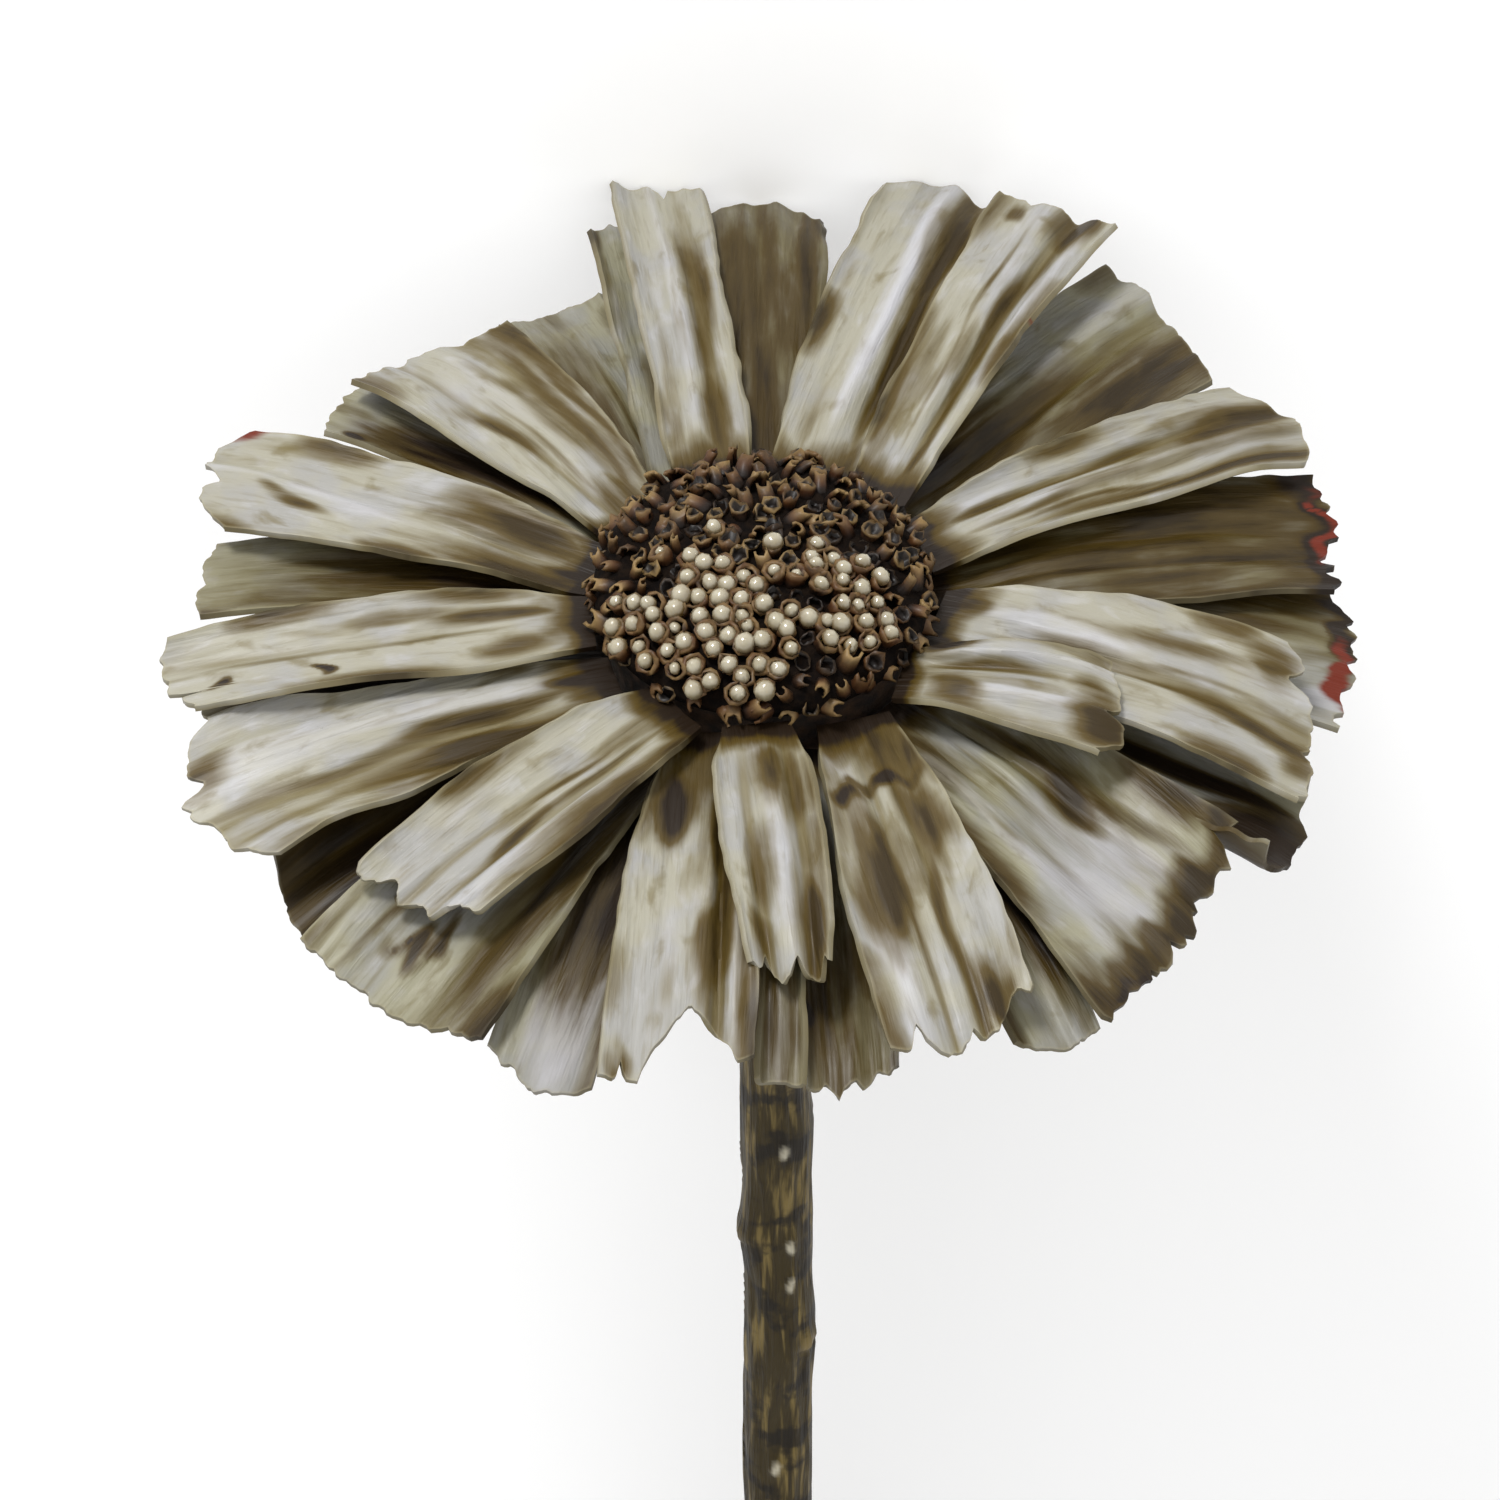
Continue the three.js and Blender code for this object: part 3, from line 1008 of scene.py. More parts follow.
@dataclass
class Leaf:
    """One bract or scale as a fine closed sheet on its plate's middle surface; lengths in mm.

    Each use of the noise reads rows of its own, so that no two patterns of a leaf are alike.
    """

    GROUND_GAP = 0.2  # the front keeps this clear of the ground
    THIN_MARGIN = 2.2  # the sheet thins out this far in from its edges
    EDGE_BAND = 0.4  # width of the edge band: worn, and painted as a highlight where the edges catch light

    head: HeadFrame
    surface: PlateSurface
    shape: LeafShape
    seed: int
    steps: tuple[int, int]
    thickness: float = 0.9
    edge_thickness: float = 0.5
    groove: float = 0.34  # height of the main lengthwise ridges
    groove_width: float = 1.7
    warp: float = 0.7  # height of the slow waves
    root_reach: float = 0.17  # share of the bract that is brown at its root; the part nearest the root is painted near-black as shade

    def outline(self, along: Array, across: Array) -> tuple[Array, Array]:
        """Tears the tip and lets the long edges wander.

        Args:
            along: even steps from 0 to 1.
            across: even steps from -1 to 1.

        Returns:
            The changed along and across.
        """
        noise = SmoothNoise(self.seed)
        length = self.surface.length()
        aside = across * self.surface.half_width(np.ones_like(along))
        tear = np.abs(noise.at(aside / 2.1, np.full_like(aside, 3.5)))
        tear += 0.45 * noise.at(aside / 0.75, np.full_like(aside, 9.5))
        tear += 0.25 * noise.at(aside / 0.38, np.full_like(aside, 15.5))
        cut = self.shape.ragged * tear
        for notch in self.shape.notches:
            cut += notch.at(across)
        near_tip = smoothstep(0.62, 1.0, along)
        new_along = along - near_tip * cut / length
        wander = 0.3 * noise.at(along * length / 6.0, np.sign(across) * 5.5 + 20)
        wander += 0.12 * noise.at(along * length / 1.7, np.sign(across) * 5.5 + 40)
        half = self.surface.half_width(along)
        new_across = across * (1 + np.abs(across) ** 3 * wander / half)
        new_across *= 1 + (self.shape.widen - 1) * smoothstep(0.1, 0.7, along)
        return new_along, new_across

    def furrows(self, along: Array, aside: Array) -> Array:
        """The lengthwise ridges and grooves of the fibres.

        Args:
            along: 0 at the root to 1 at the tip.
            aside: distance from the middle line in mm.

        Returns:
            Heights of about -1 to 1.
        """
        noise = SmoothNoise(self.seed + 2000)
        run = along * self.surface.length()
        drift = 0.5 * noise.at(run / 12, 0.3)
        broad = noise.at(aside / self.groove_width + drift, run / 18)
        fine = noise.at(aside / (0.4 * self.groove_width) + drift, run / 12 + 31)
        return 0.8 * broad + 0.3 * fine

    def crest(self, along: Array, across: Array, aside: Array) -> Array:
        """How far each point is on a ridge, from 0 in a groove to 1.

        Args:
            along: 0 at the root to 1 at the tip.
            across: -1 to 1.
            aside: distance from the middle line in mm.

        Returns:
            Shares from 0 to 1.
        """
        height = self.groove * self.furrows(along, aside)
        for fold in self.shape.folds:
            height += fold.at(along, across)
        return np.clip(0.5 + height / (2.4 * self.groove), 0, 1)

    def lift(self, along: Array, across: Array, aside: Array) -> Array:
        """Height of the relief over the middle surface, in mm.

        Args:
            along: 0 at the root to 1 at the tip.
            across: -1 to 1.
            aside: distance from the middle line in mm.

        Returns:
            Heights along the normal.
        """
        noise = SmoothNoise(self.seed + 1000)
        run = along * self.surface.length()
        open_out = smoothstep(0.0, 0.25, along)
        height = self.groove * self.furrows(along, aside)
        height += self.warp * noise.at(aside / 6.5 + 11, run / 11 + 17)
        height *= 0.3 + 0.7 * open_out
        for fold in self.shape.folds:
            height += fold.at(along, across)
        edge = np.abs(across) ** 7
        height += np.where(across > 0, self.shape.roll_left, self.shape.roll_right) * edge * open_out
        height += self.shape.tip_curl * smoothstep(0.72, 1.05, along) ** 2
        # A widened bract sinks a little, to pass behind its neighbours.
        height -= 1.6 * (self.shape.widen - 1) * smoothstep(0.15, 0.5, along)
        return height

    def build(self) -> bpy.types.Object:
        """Makes the sheet, stores its tones and gives it its thickness.

        Returns:
            The closed sheet, in place.
        """
        start_fresh()
        bpy.ops.mesh.primitive_grid_add(x_subdivisions=self.steps[0], y_subdivisions=self.steps[1], size=2)
        obj = bpy.context.active_object
        grid = positions(obj)
        even_along, even_across = (grid[:, 0] + 1) / 2, grid[:, 1]
        along, across = self.outline(even_along, even_across)
        aside = across * self.surface.half_width(along)
        self.lay_on_plate(obj, along, across, aside)

        half = self.surface.half_width(even_along)
        length = self.surface.length()
        from_edge = np.minimum((1 - np.abs(even_across)) * half, (1 - even_along) * length)
        closeness = np.exp(-((from_edge / self.EDGE_BAND) ** 2))
        self.store_tones(obj, along, across, closeness)
        crest = obj.data.attributes.new(RIDGE, "FLOAT", "POINT")
        crest.data.foreach_set("value", self.crest(along, across, aside).astype(np.float32))
        # Every bract reads another part of the fibre pattern.
        offset = (self.seed * 17.3) % 97
        set_fibre_map(obj, along * length + offset, aside + offset)
        self.thicken(obj, from_edge)
        bpy.ops.object.shade_smooth_by_angle(angle=math.radians(50))
        return obj

    def lay_on_plate(self, obj: bpy.types.Object, along: Array, across: Array, aside: Array) -> None:
        """Lays the grid on the plate's middle surface with its relief, clear of the ground.

        Args:
            obj: the grid.
            along: place along of each vertex.
            across: place across.
            aside: distance from the middle line in mm.
        """
        lift = self.lift(along, across, aside)
        points = self.surface.point(along, across)
        points += self.surface.normal(along, across) * (lift + self.thickness / 2)[:, None]
        placed = self.head.world(points)
        placed[:, 2] = np.maximum(placed[:, 2], self.GROUND_GAP * MM)
        set_positions(obj, placed)

    def thicken(self, obj: bpy.types.Object, from_edge: Array) -> None:
        """Closes the sheet with a back, thinner towards its edges.

        Args:
            obj: the sheet.
            from_edge: distance of each vertex from the nearest edge in mm.
        """
        group = obj.vertex_groups.new(name="thickness")
        thin = self.edge_thickness / self.thickness
        share = np.round(thin + (1 - thin) * smoothstep(0.0, self.THIN_MARGIN, from_edge), 2)
        for value in np.unique(share):
            group.add(np.nonzero(share == value)[0].tolist(), float(value), "REPLACE")
        solid = obj.modifiers.new("thickness", "SOLIDIFY")
        solid.thickness = self.thickness * MM
        solid.offset = -1
        solid.vertex_group = group.name
        front_count = len(obj.data.vertices)
        bpy.ops.object.modifier_apply(modifier=solid.name)
        self.mark_back(obj, front_count)

    def store_tones(self, obj: bpy.types.Object, along: Array, across: Array, closeness: Array) -> None:
        """Stores the stains, the painted shade and highlights, and the closeness to an edge as attributes.

        Args:
            obj: the sheet before it gets its thickness.
            along: place along of each vertex.
            across: place across.
            closeness: 1 at an edge, 0 away from it.
        """
        noise = SmoothNoise(self.seed + 3000)
        run = along * self.surface.length()
        aside = across * self.surface.half_width(along)
        # Warped places and an uneven strength give the patches their irregular outlines.
        drawn_along = along + 0.045 * noise.at(run / 4.5, aside / 1.3)
        drawn_across = across + 0.12 * noise.at(run / 8 + 9, aside / 2.0 + 5)
        uneven = 0.95 + 0.40 * noise.at(run / 7.0 + 31, aside / 0.9 + 13)
        sums = {tone: np.zeros_like(along) for tone in Tone}
        for stain in self.shape.stains:
            strength = stain.at(drawn_along, drawn_across) * uneven
            sums[stain.tone] = np.maximum(sums[stain.tone], strength)

        # Every bract also has faint tannin bands, long brown edges, a brown root and near-black painted
        # shade nearest the root, where the bracts crowd into the cup.
        band = noise.at(aside / 2.6 + 17, run / 16 + 3) + 0.4 * noise.at(run / 6, aside / 1.1 + 7)
        rim = smoothstep(0.55, 1.0, np.abs(across)) * noise.at(run / 9 + 5, np.sign(across) * 4 + 8)
        reach = self.root_reach * (1 + 0.6 * noise.at(aside / 2.2 + 3, 0.5))
        for tone, strength in (
            (BROWN, 0.42 * smoothstep(0.2, 1.1, band)),
            (BROWN, 1.3 * np.clip(rim, 0, 1)),
            (BROWN, 1.2 * smoothstep(0.0, 1.0, 1 - along / reach)),
            # Near-black at the root: painted shade.
            (DARK, 1.3 * smoothstep(0.45, 1.0, 1 - along / reach)),
        ):
            sums[tone] = np.maximum(sums[tone], strength)
        set_attribute(obj, TONES, [sums[BROWN], sums[DARK], sums[BLOOM]])
        set_attribute(obj, MARKS, [sums[CHAR], closeness, np.zeros_like(along)])

    @staticmethod
    def mark_back(obj: bpy.types.Object, front_count: int) -> None:
        """Marks the vertices of the back of a sheet that has its thickness.

        Args:
            obj: the closed sheet.
            front_count: number of vertices of its front.
        """
        marks = obj.data.attributes[MARKS]
        values = np.zeros(len(obj.data.vertices) * 4, np.float32)
        marks.data.foreach_get("color", values)
        values = values.reshape(-1, 4)
        values[front_count:, 2] = 1
        marks.data.foreach_set("color", values.ravel())


# Where each bract is stained, torn and folded, bract by bract. The near-black marks are partly painted shade
# in folds, gaps and over the rear bracts, and the milky marks partly painted highlights.
LEAF_SHAPES: dict[str, LeafShape] = {
    "inner_bract_01": LeafShape(
        stains=(
            Stain(BROWN, 0.18, -0.35, 0.11, 0.22), Stain(BROWN, 0.54, -0.40, 0.20, 0.20, 0.95),
            Stain(BLOOM, 0.75, 0.30, 0.20, 0.35, 0.5), Stain(BROWN, 0.22, 0.85, 0.04, 0.15, 0.5),
        ),
        folds=(Fold(-0.40, 0.22, -0.5), Fold(0.15, 0.3, 0.35)),
        notches=(Notch(-0.15, 0.12, 1.6),),
        ragged=0.9,
    ),
    "inner_bract_02": LeafShape(
        stains=(
            Stain(BROWN, 0.50, 0.38, 0.12, 0.12, 1.0, 1.0), Stain(BROWN, 0.06, -0.30, 0.08, 0.40, 0.9),
            Stain(BROWN, 0.45, -0.55, 0.36, 0.10, 0.75), Stain(BROWN, 0.42, -0.88, 0.40, 0.10, 0.8),
            Stain(BROWN, 0.30, 0.02, 0.20, 0.05, 0.6), Stain(BLOOM, 0.75, 0.05, 0.22, 0.45, 0.55),
        ),
        folds=(Fold(0.30, 0.12, -0.5), Fold(-0.5, 0.2, -0.4), Fold(-0.1, 0.2, 0.3)),
        ragged=0.8, tip_curl=-1.2,
    ),
    "inner_bract_03": LeafShape(
        stains=(
            Stain(BROWN, 0.14, 0.75, 0.18, 0.30, 1.2), Stain(BROWN, 0.18, -0.45, 0.14, 0.32, 1.3),
            Stain(DARK, 0.03, 0.30, 0.06, 0.60, 0.8), Stain(BLOOM, 0.58, 0.10, 0.18, 0.50, 0.7),
            Stain(CHAR, 0.97, -0.85, 0.05, 0.16, 1.1), Stain(BROWN, 0.76, 0.25, 0.05, 0.06, 1.0, -1.5),
        ),
        folds=(Fold(0.25, 0.1, -0.4, -0.6), Fold(-0.1, 0.25, 0.4)),
        notches=(Notch(0.1, 0.35, 1.4),),
        ragged=1.2,
    ),
    "inner_bract_04": LeafShape(
        stains=(
            Stain(BROWN, 0.17, 0.55, 0.06, 0.20, 0.7), Stain(BROWN, 0.20, -0.45, 0.10, 0.14, 1.0),
            Stain(DARK, 0.66, 0.55, 0.02, 0.10, 1.0, 3.0),
            Stain(DARK, 0.90, 0.38, 0.02, 0.08, 0.8, 3.0), Stain(BROWN, 0.06, -0.2, 0.05, 0.6, 0.6),
            Stain(BROWN, 0.55, 0.0, 0.3, 0.08, 0.45),
        ),
        folds=(Fold(-0.15, 0.15, -0.3), Fold(0.3, 0.25, 0.3)),
        notches=(Notch(0.45, 0.06, 2.5), Notch(-0.05, 0.3, 0.8)),
        ragged=1.0,
    ),
    "inner_bract_05": LeafShape(
        stains=(
            Stain(BROWN, 0.28, 0.70, 0.22, 0.24, 1.4), Stain(BROWN, 0.35, 0.02, 0.18, 0.12, 1.0, 0.6),
            Stain(BROWN, 0.66, 0.25, 0.22, 0.07, 0.8), Stain(DARK, 0.06, -0.20, 0.07, 0.60, 0.9),
            Stain(BROWN, 0.95, -0.40, 0.05, 0.15, 0.9), Stain(BROWN, 0.80, 0.60, 0.15, 0.05, 0.5),
        ),
        folds=(Fold(0.15, 0.12, -0.45, 0.2), Fold(0.6, 0.2, -0.3), Fold(-0.35, 0.25, 0.4)),
        notches=(Notch(-0.25, 0.12, 1.5), Notch(0.35, 0.2, 1.0)),
        ragged=1.2,
    ),
    "inner_bract_06": LeafShape(
        stains=(
            Stain(BROWN, 0.36, 0.95, 0.28, 0.18, 1.4), Stain(BROWN, 0.45, 0.28, 0.34, 0.06, 0.95, 0.15),
            Stain(BROWN, 0.32, -0.05, 0.20, 0.06, 0.8), Stain(DARK, 0.03, 0.0, 0.05, 0.8, 0.8),
            Stain(BLOOM, 0.4, 0.55, 0.2, 0.12, 0.5),
        ),
        folds=(Fold(0.28, 0.1, -0.4, 0.1), Fold(-0.1, 0.1, -0.3), Fold(0.6, 0.2, 0.4)),
        notches=(Notch(-0.4, 0.25, 1.5),),
        roll_right=0.8, ragged=1.1,
    ),
    "inner_bract_07": LeafShape(
        stains=(
            Stain(BROWN, 0.45, 0.50, 0.22, 0.12, 1.4), Stain(BROWN, 0.66, 0.42, 0.10, 0.12, 1.2),
            Stain(BROWN, 0.33, 0.35, 0.10, 0.10, 1.0), Stain(DARK, 0.22, -0.38, 0.08, 0.40, 1.2),
            Stain(BROWN, 0.10, 0.1, 0.1, 0.8, 0.9), Stain(BLOOM, 0.62, -0.25, 0.2, 0.3, 0.6),
            Stain(BROWN, 0.96, -0.68, 0.03, 0.10, 0.9),
        ),
        folds=(Fold(0.48, 0.10, -0.9), Fold(0.72, 0.15, 0.5)),
        notches=(Notch(0.12, 0.62, 6.2, 1.5), Notch(-0.72, 0.06, 2.0)),
        ragged=0.6,
    ),
    "inner_bract_08": LeafShape(
        stains=(
            Stain(BROWN, 0.20, 0.10, 0.09, 0.35, 1.0), Stain(BROWN, 0.30, 0.50, 0.12, 0.20, 0.8),
            Stain(BROWN, 0.85, 0.62, 0.11, 0.26, 1.4), Stain(BROWN, 0.60, -0.25, 0.12, 0.20, 0.7),
            Stain(DARK, 0.02, 0.0, 0.05, 1.0, 0.8), Stain(BROWN, 0.88, -0.5, 0.07, 0.2, 0.7),
        ),
        folds=(Fold(0.1, 0.3, 0.5), Fold(-0.45, 0.15, -0.4), Fold(0.55, 0.15, -0.35)),
        notches=(Notch(0.2, 0.25, 2.0), Notch(-0.55, 0.15, 1.4), Notch(0.85, 0.12, 1.2)),
        ragged=1.3, roll_left=0.5, roll_right=0.5,
    ),
    "inner_bract_09": LeafShape(
        stains=(
            Stain(DARK, 0.235, 0.2, 0.03, 0.6, 1.0, 0.0), Stain(BROWN, 0.12, 0.50, 0.10, 0.50, 1.2),
            Stain(BROWN, 0.37, 0.50, 0.09, 0.24, 1.4), Stain(BROWN, 0.50, -0.45, 0.13, 0.28, 1.3),
            Stain(BROWN, 0.90, 0.55, 0.06, 0.20, 1.4), Stain(BROWN, 0.72, 0.28, 0.26, 0.07, 0.9),
            Stain(BROWN, 0.75, -0.15, 0.2, 0.05, 0.7), Stain(BLOOM, 0.12, -0.70, 0.07, 0.25, 0.7),
            Stain(BLOOM, 0.70, -0.60, 0.22, 0.28, 0.8), Stain(DARK, 0.27, -0.6, 0.03, 0.3, 0.8),
        ),
        folds=(Fold(0.28, 0.1, -0.4), Fold(-0.15, 0.1, -0.3), Fold(-0.5, 0.2, 0.4)),
        notches=(Notch(0.75, 0.2, 2.0), Notch(0.15, 0.1, 1.2), Notch(-0.6, 0.1, 1.5)),
        ragged=1.5,
    ),
    "inner_bract_10": LeafShape(
        stains=(
            Stain(DARK, 0.20, 0.92, 0.10, 0.14, 1.0), Stain(BROWN, 0.25, -0.50, 0.09, 0.28, 1.2),
            Stain(BROWN, 0.87, -0.55, 0.09, 0.32, 1.5), Stain(BROWN, 0.40, 0.30, 0.24, 0.12, 0.7),
            Stain(BROWN, 0.86, 0.25, 0.06, 0.2, 0.8),
        ),
        folds=(Fold(0.65, 0.1, 0.6), Fold(0.35, 0.12, -0.4), Fold(-0.3, 0.25, 0.3)),
        notches=(Notch(-0.2, 0.15, 1.5), Notch(-0.95, 0.3, 1.5)),
        ragged=1.1, roll_left=0.7,
    ),
    "inner_bract_11": LeafShape(
        stains=(
            Stain(BROWN, 0.78, -0.22, 0.22, 0.08, 1.0, -0.2), Stain(BROWN, 0.72, 0.10, 0.2, 0.05, 0.7),
            Stain(DARK, 0.06, 0.55, 0.06, 0.25, 0.9), Stain(DARK, 0.05, -0.75, 0.06, 0.25, 0.9),
            Stain(BLOOM, 0.40, 0.20, 0.22, 0.55, 0.8), Stain(BROWN, 0.97, -0.50, 0.03, 0.16, 1.0),
            Stain(BROWN, 0.60, 0.50, 0.18, 0.10, 0.6), Stain(BROWN, 0.90, 0.6, 0.05, 0.2, 0.6),
        ),
        folds=(Fold(-0.1, 0.12, -0.4), Fold(0.35, 0.2, 0.4), Fold(-0.45, 0.15, 0.3)),
        notches=(Notch(0.5, 0.2, 1.5), Notch(-0.3, 0.1, 1.0)),
        ragged=0.9,
    ),
    "inner_bract_12": LeafShape(
        stains=(
            Stain(BROWN, 0.38, 0.35, 0.24, 0.09, 0.85), Stain(BROWN, 0.86, 0.30, 0.14, 0.16, 1.2, 0.6),
            Stain(BROWN, 0.76, -0.70, 0.26, 0.15, 1.3), Stain(BROWN, 0.32, -0.25, 0.14, 0.08, 0.7),
            Stain(BLOOM, 0.22, 0.60, 0.16, 0.2, 0.6), Stain(DARK, 0.04, 0.60, 0.04, 0.3, 0.9),
            Stain(BROWN, 0.5, -0.45, 0.2, 0.05, 0.6),
        ),
        folds=(Fold(0.35, 0.12, -0.4), Fold(-0.05, 0.15, 0.45), Fold(-0.6, 0.15, -0.4)),
        ragged=0.7, roll_left=0.5, roll_right=0.6, tip_curl=-1.6,
    ),
    "inner_bract_13": LeafShape(
        stains=(
            Stain(BROWN, 0.46, -0.38, 0.34, 0.10, 0.95), Stain(BROWN, 0.95, -0.45, 0.07, 0.18, 1.3),
            Stain(BROWN, 0.14, -0.40, 0.08, 0.12, 1.0), Stain(BROWN, 0.92, 0.50, 0.02, 0.08, 1.0),
            Stain(BROWN, 0.60, 0.12, 0.3, 0.05, 0.5), Stain(CHAR, 0.58, -0.96, 0.015, 0.10, 1.0),
        ),
        folds=(Fold(-0.35, 0.12, -0.5), Fold(0.0, 0.2, 0.4), Fold(-0.75, 0.15, 0.4)),
        notches=(Notch(0.4, 0.15, 0.8),),
        ragged=0.5, roll_right=0.6,
    ),
    "inner_bract_14": LeafShape(
        stains=(
            Stain(BLOOM, 0.60, -0.05, 0.38, 0.22, 1.2), Stain(BROWN, 0.44, -0.62, 0.16, 0.14, 1.5),
            Stain(BROWN, 0.75, -0.48, 0.19, 0.16, 1.4), Stain(BROWN, 0.08, -0.70, 0.06, 0.15, 0.9),
            Stain(BROWN, 0.15, 0.5, 0.08, 0.15, 0.5),
        ),
        folds=(Fold(-0.52, 0.16, -0.6), Fold(-0.05, 0.22, 0.5), Fold(-0.85, 0.12, 0.4)),
        notches=(Notch(1.0, 0.5, 1.8, 0.6),),
        ragged=0.4, tip_curl=-1.8,
    ),
    "outer_bract_01": LeafShape(stains=(Stain(BROWN, 0.3, -0.1, 0.15, 0.4, 0.5),)),
    "outer_bract_02": LeafShape(
        stains=(Stain(BROWN, 0.4, 0.4, 0.4, 0.4, 0.6), Stain(BROWN, 0.3, -0.1, 0.25, 0.06, 0.8)),
    ),
    "outer_bract_03": LeafShape(
        stains=(
            Stain(DARK, 0.45, 0.2, 0.35, 0.6, 1.0), Stain(BLOOM, 0.9, 0.3, 0.08, 0.6, 0.5),
            Stain(DARK, 0.87, 0.8, 0.04, 0.14, 1.1),
        ),
    ),
    "outer_bract_04": LeafShape(
        stains=(Stain(BROWN, 0.4, 0.2, 0.35, 0.9, 0.9), Stain(DARK, 0.25, 0.1, 0.2, 0.5, 0.8)),
    ),
    "outer_bract_05": LeafShape(
        stains=(Stain(BROWN, 0.85, -0.1, 0.1, 0.5, 1.0), Stain(DARK, 0.5, 0.2, 0.35, 0.7, 1.0)),
        notches=(Notch(0.0, 0.4, 1.5),),
        widen=1.35,
    ),
    "outer_bract_06": LeafShape(
        stains=(Stain(BROWN, 0.9, 0.0, 0.2, 1.4, 1.3), Stain(DARK, 0.5, 0.0, 0.4, 1.3, 0.9)),
        widen=1.35,
    ),
    "outer_bract_07": LeafShape(
        stains=(
            Stain(BROWN, 0.30, 0.70, 0.24, 0.22, 1.3), Stain(BROWN, 0.66, 0.62, 0.28, 0.15, 1.0),
            Stain(BROWN, 0.20, -0.10, 0.12, 0.35, 0.6), Stain(BROWN, 0.85, -0.12, 0.03, 0.11, 1.5),
            Stain(BROWN, 0.79, 0.06, 0.04, 0.05, 1.1, 1.5), Stain(DARK, 0.85, -0.22, 0.012, 0.05, 1.2),
            Stain(BROWN, 0.7, -0.5, 0.25, 0.05, 0.6),
        ),
        folds=(Fold(0.5, 0.12, -0.5), Fold(0.0, 0.15, 0.3), Fold(-0.6, 0.1, -0.3)),
        ragged=0.8,
    ),
    "outer_bract_08": LeafShape(
        stains=(Stain(BLOOM, 0.85, 0.2, 0.18, 0.8, 1.3), Stain(DARK, 0.35, 0.0, 0.35, 0.9, 0.9)),
        ragged=0.7,
    ),
    "outer_bract_09": LeafShape(
        stains=(Stain(BROWN, 0.75, 0.0, 0.35, 1.4, 0.7),),
        folds=(Fold(0.0, 0.4, 0.3),),
    ),
    "outer_bract_10": LeafShape(
        stains=(
            Stain(BROWN, 0.7, -0.2, 0.3, 0.7, 0.9), Stain(DARK, 0.8, -0.8, 0.05, 0.15, 1.0),
            Stain(BLOOM, 0.65, 0.4, 0.1, 0.15, 0.5),
        ),
        ragged=1.3,
    ),
    "outer_bract_11": LeafShape(
        stains=(Stain(BROWN, 0.35, 0.0, 0.3, 1.2, 0.8), Stain(DARK, 0.55, 0.6, 0.25, 0.3, 0.8)),
        ragged=0.8,
    ),
    "outer_bract_12": LeafShape(
        stains=(
            Stain(BROWN, 0.53, 0.30, 0.07, 0.16, 1.5), Stain(BROWN, 0.35, 0.40, 0.17, 0.10, 1.0),
            Stain(BROWN, 0.62, 0.55, 0.14, 0.08, 0.8), Stain(BLOOM, 0.72, 0.0, 0.22, 0.7, 1.2),
            Stain(BROWN, 0.955, 0.10, 0.045, 1.2, 1.2), Stain(BROWN, 0.15, -0.50, 0.1, 0.2, 0.9),
            Stain(DARK, 0.97, -0.70, 0.02, 0.2, 0.9),
        ),
        folds=(
            Fold(0.30, 0.08, -0.5), Fold(0.0, 0.07, -0.35), Fold(-0.3, 0.07, -0.35),
            Fold(-0.55, 0.1, 0.4), Fold(0.6, 0.1, -0.4),
        ),
        notches=(Notch(0.85, 0.15, 2.5), Notch(0.3, 0.1, 1.5), Notch(-0.15, 0.08, 1.5)),
        ragged=1.6,
    ),
    "outer_bract_13": LeafShape(
        stains=(Stain(DARK, 0.92, -0.4, 0.12, 0.8, 1.2), Stain(DARK, 0.7, 0.6, 0.25, 0.2, 1.0)),
        widen=1.35,
    ),
    "outer_bract_14": LeafShape(
        stains=(
            Stain(BROWN, 0.70, 0.80, 0.28, 0.35, 1.0), Stain(CHAR, 0.97, -0.20, 0.035, 0.6, 1.1),
            Stain(DARK, 0.98, 0.6, 0.035, 0.6, 1.2), Stain(BLOOM, 0.93, -0.60, 0.03, 0.16, 1.5),
        ),
        ragged=1.6,
    ),
    "outer_bract_15": LeafShape(
        stains=(
            Stain(BROWN, 0.6, 0.0, 0.6, 1.4, 0.9), Stain(DARK, 0.965, 0.0, 0.045, 1.5, 1.3),
            Stain(CHAR, 0.97, 0.25, 0.03, 0.7, 1.1),
        ),
        folds=(Fold(0.2, 0.12, -0.4), Fold(-0.3, 0.12, -0.3)),
        ragged=1.7,
    ),
    "outer_bract_16": LeafShape(
        stains=(
            Stain(BROWN, 0.45, 0.0, 0.22, 0.3, 1.1), Stain(BROWN, 0.80, -0.55, 0.22, 0.30, 1.3),
            Stain(BROWN, 0.30, 0.25, 0.2, 0.2, 1.0), Stain(DARK, 0.12, 0.5, 0.2, 0.3, 1.0),
            Stain(BLOOM, 0.35, -0.55, 0.12, 0.18, 0.8), Stain(BLOOM, 0.62, 0.22, 0.16, 0.16, 0.6),
        ),
        folds=(Fold(0.1, 0.15, -0.5), Fold(-0.45, 0.15, -0.4), Fold(0.45, 0.2, 0.4)),
        ragged=0.5,
    ),
    "outer_bract_17": LeafShape(
        stains=(
            Stain(BROWN, 0.5, 0.1, 0.6, 1.0, 0.75), Stain(BROWN, 0.75, -0.75, 0.18, 0.14, 1.3),
            Stain(DARK, 0.1, 0.2, 0.2, 0.5, 0.8), Stain(BLOOM, 0.55, 0.1, 0.06, 0.1, 0.8),
        ),
        folds=(Fold(-0.7, 0.1, 0.5),),
        ragged=0.3, roll_right=1.2, tip_curl=-1.5,
    ),
}


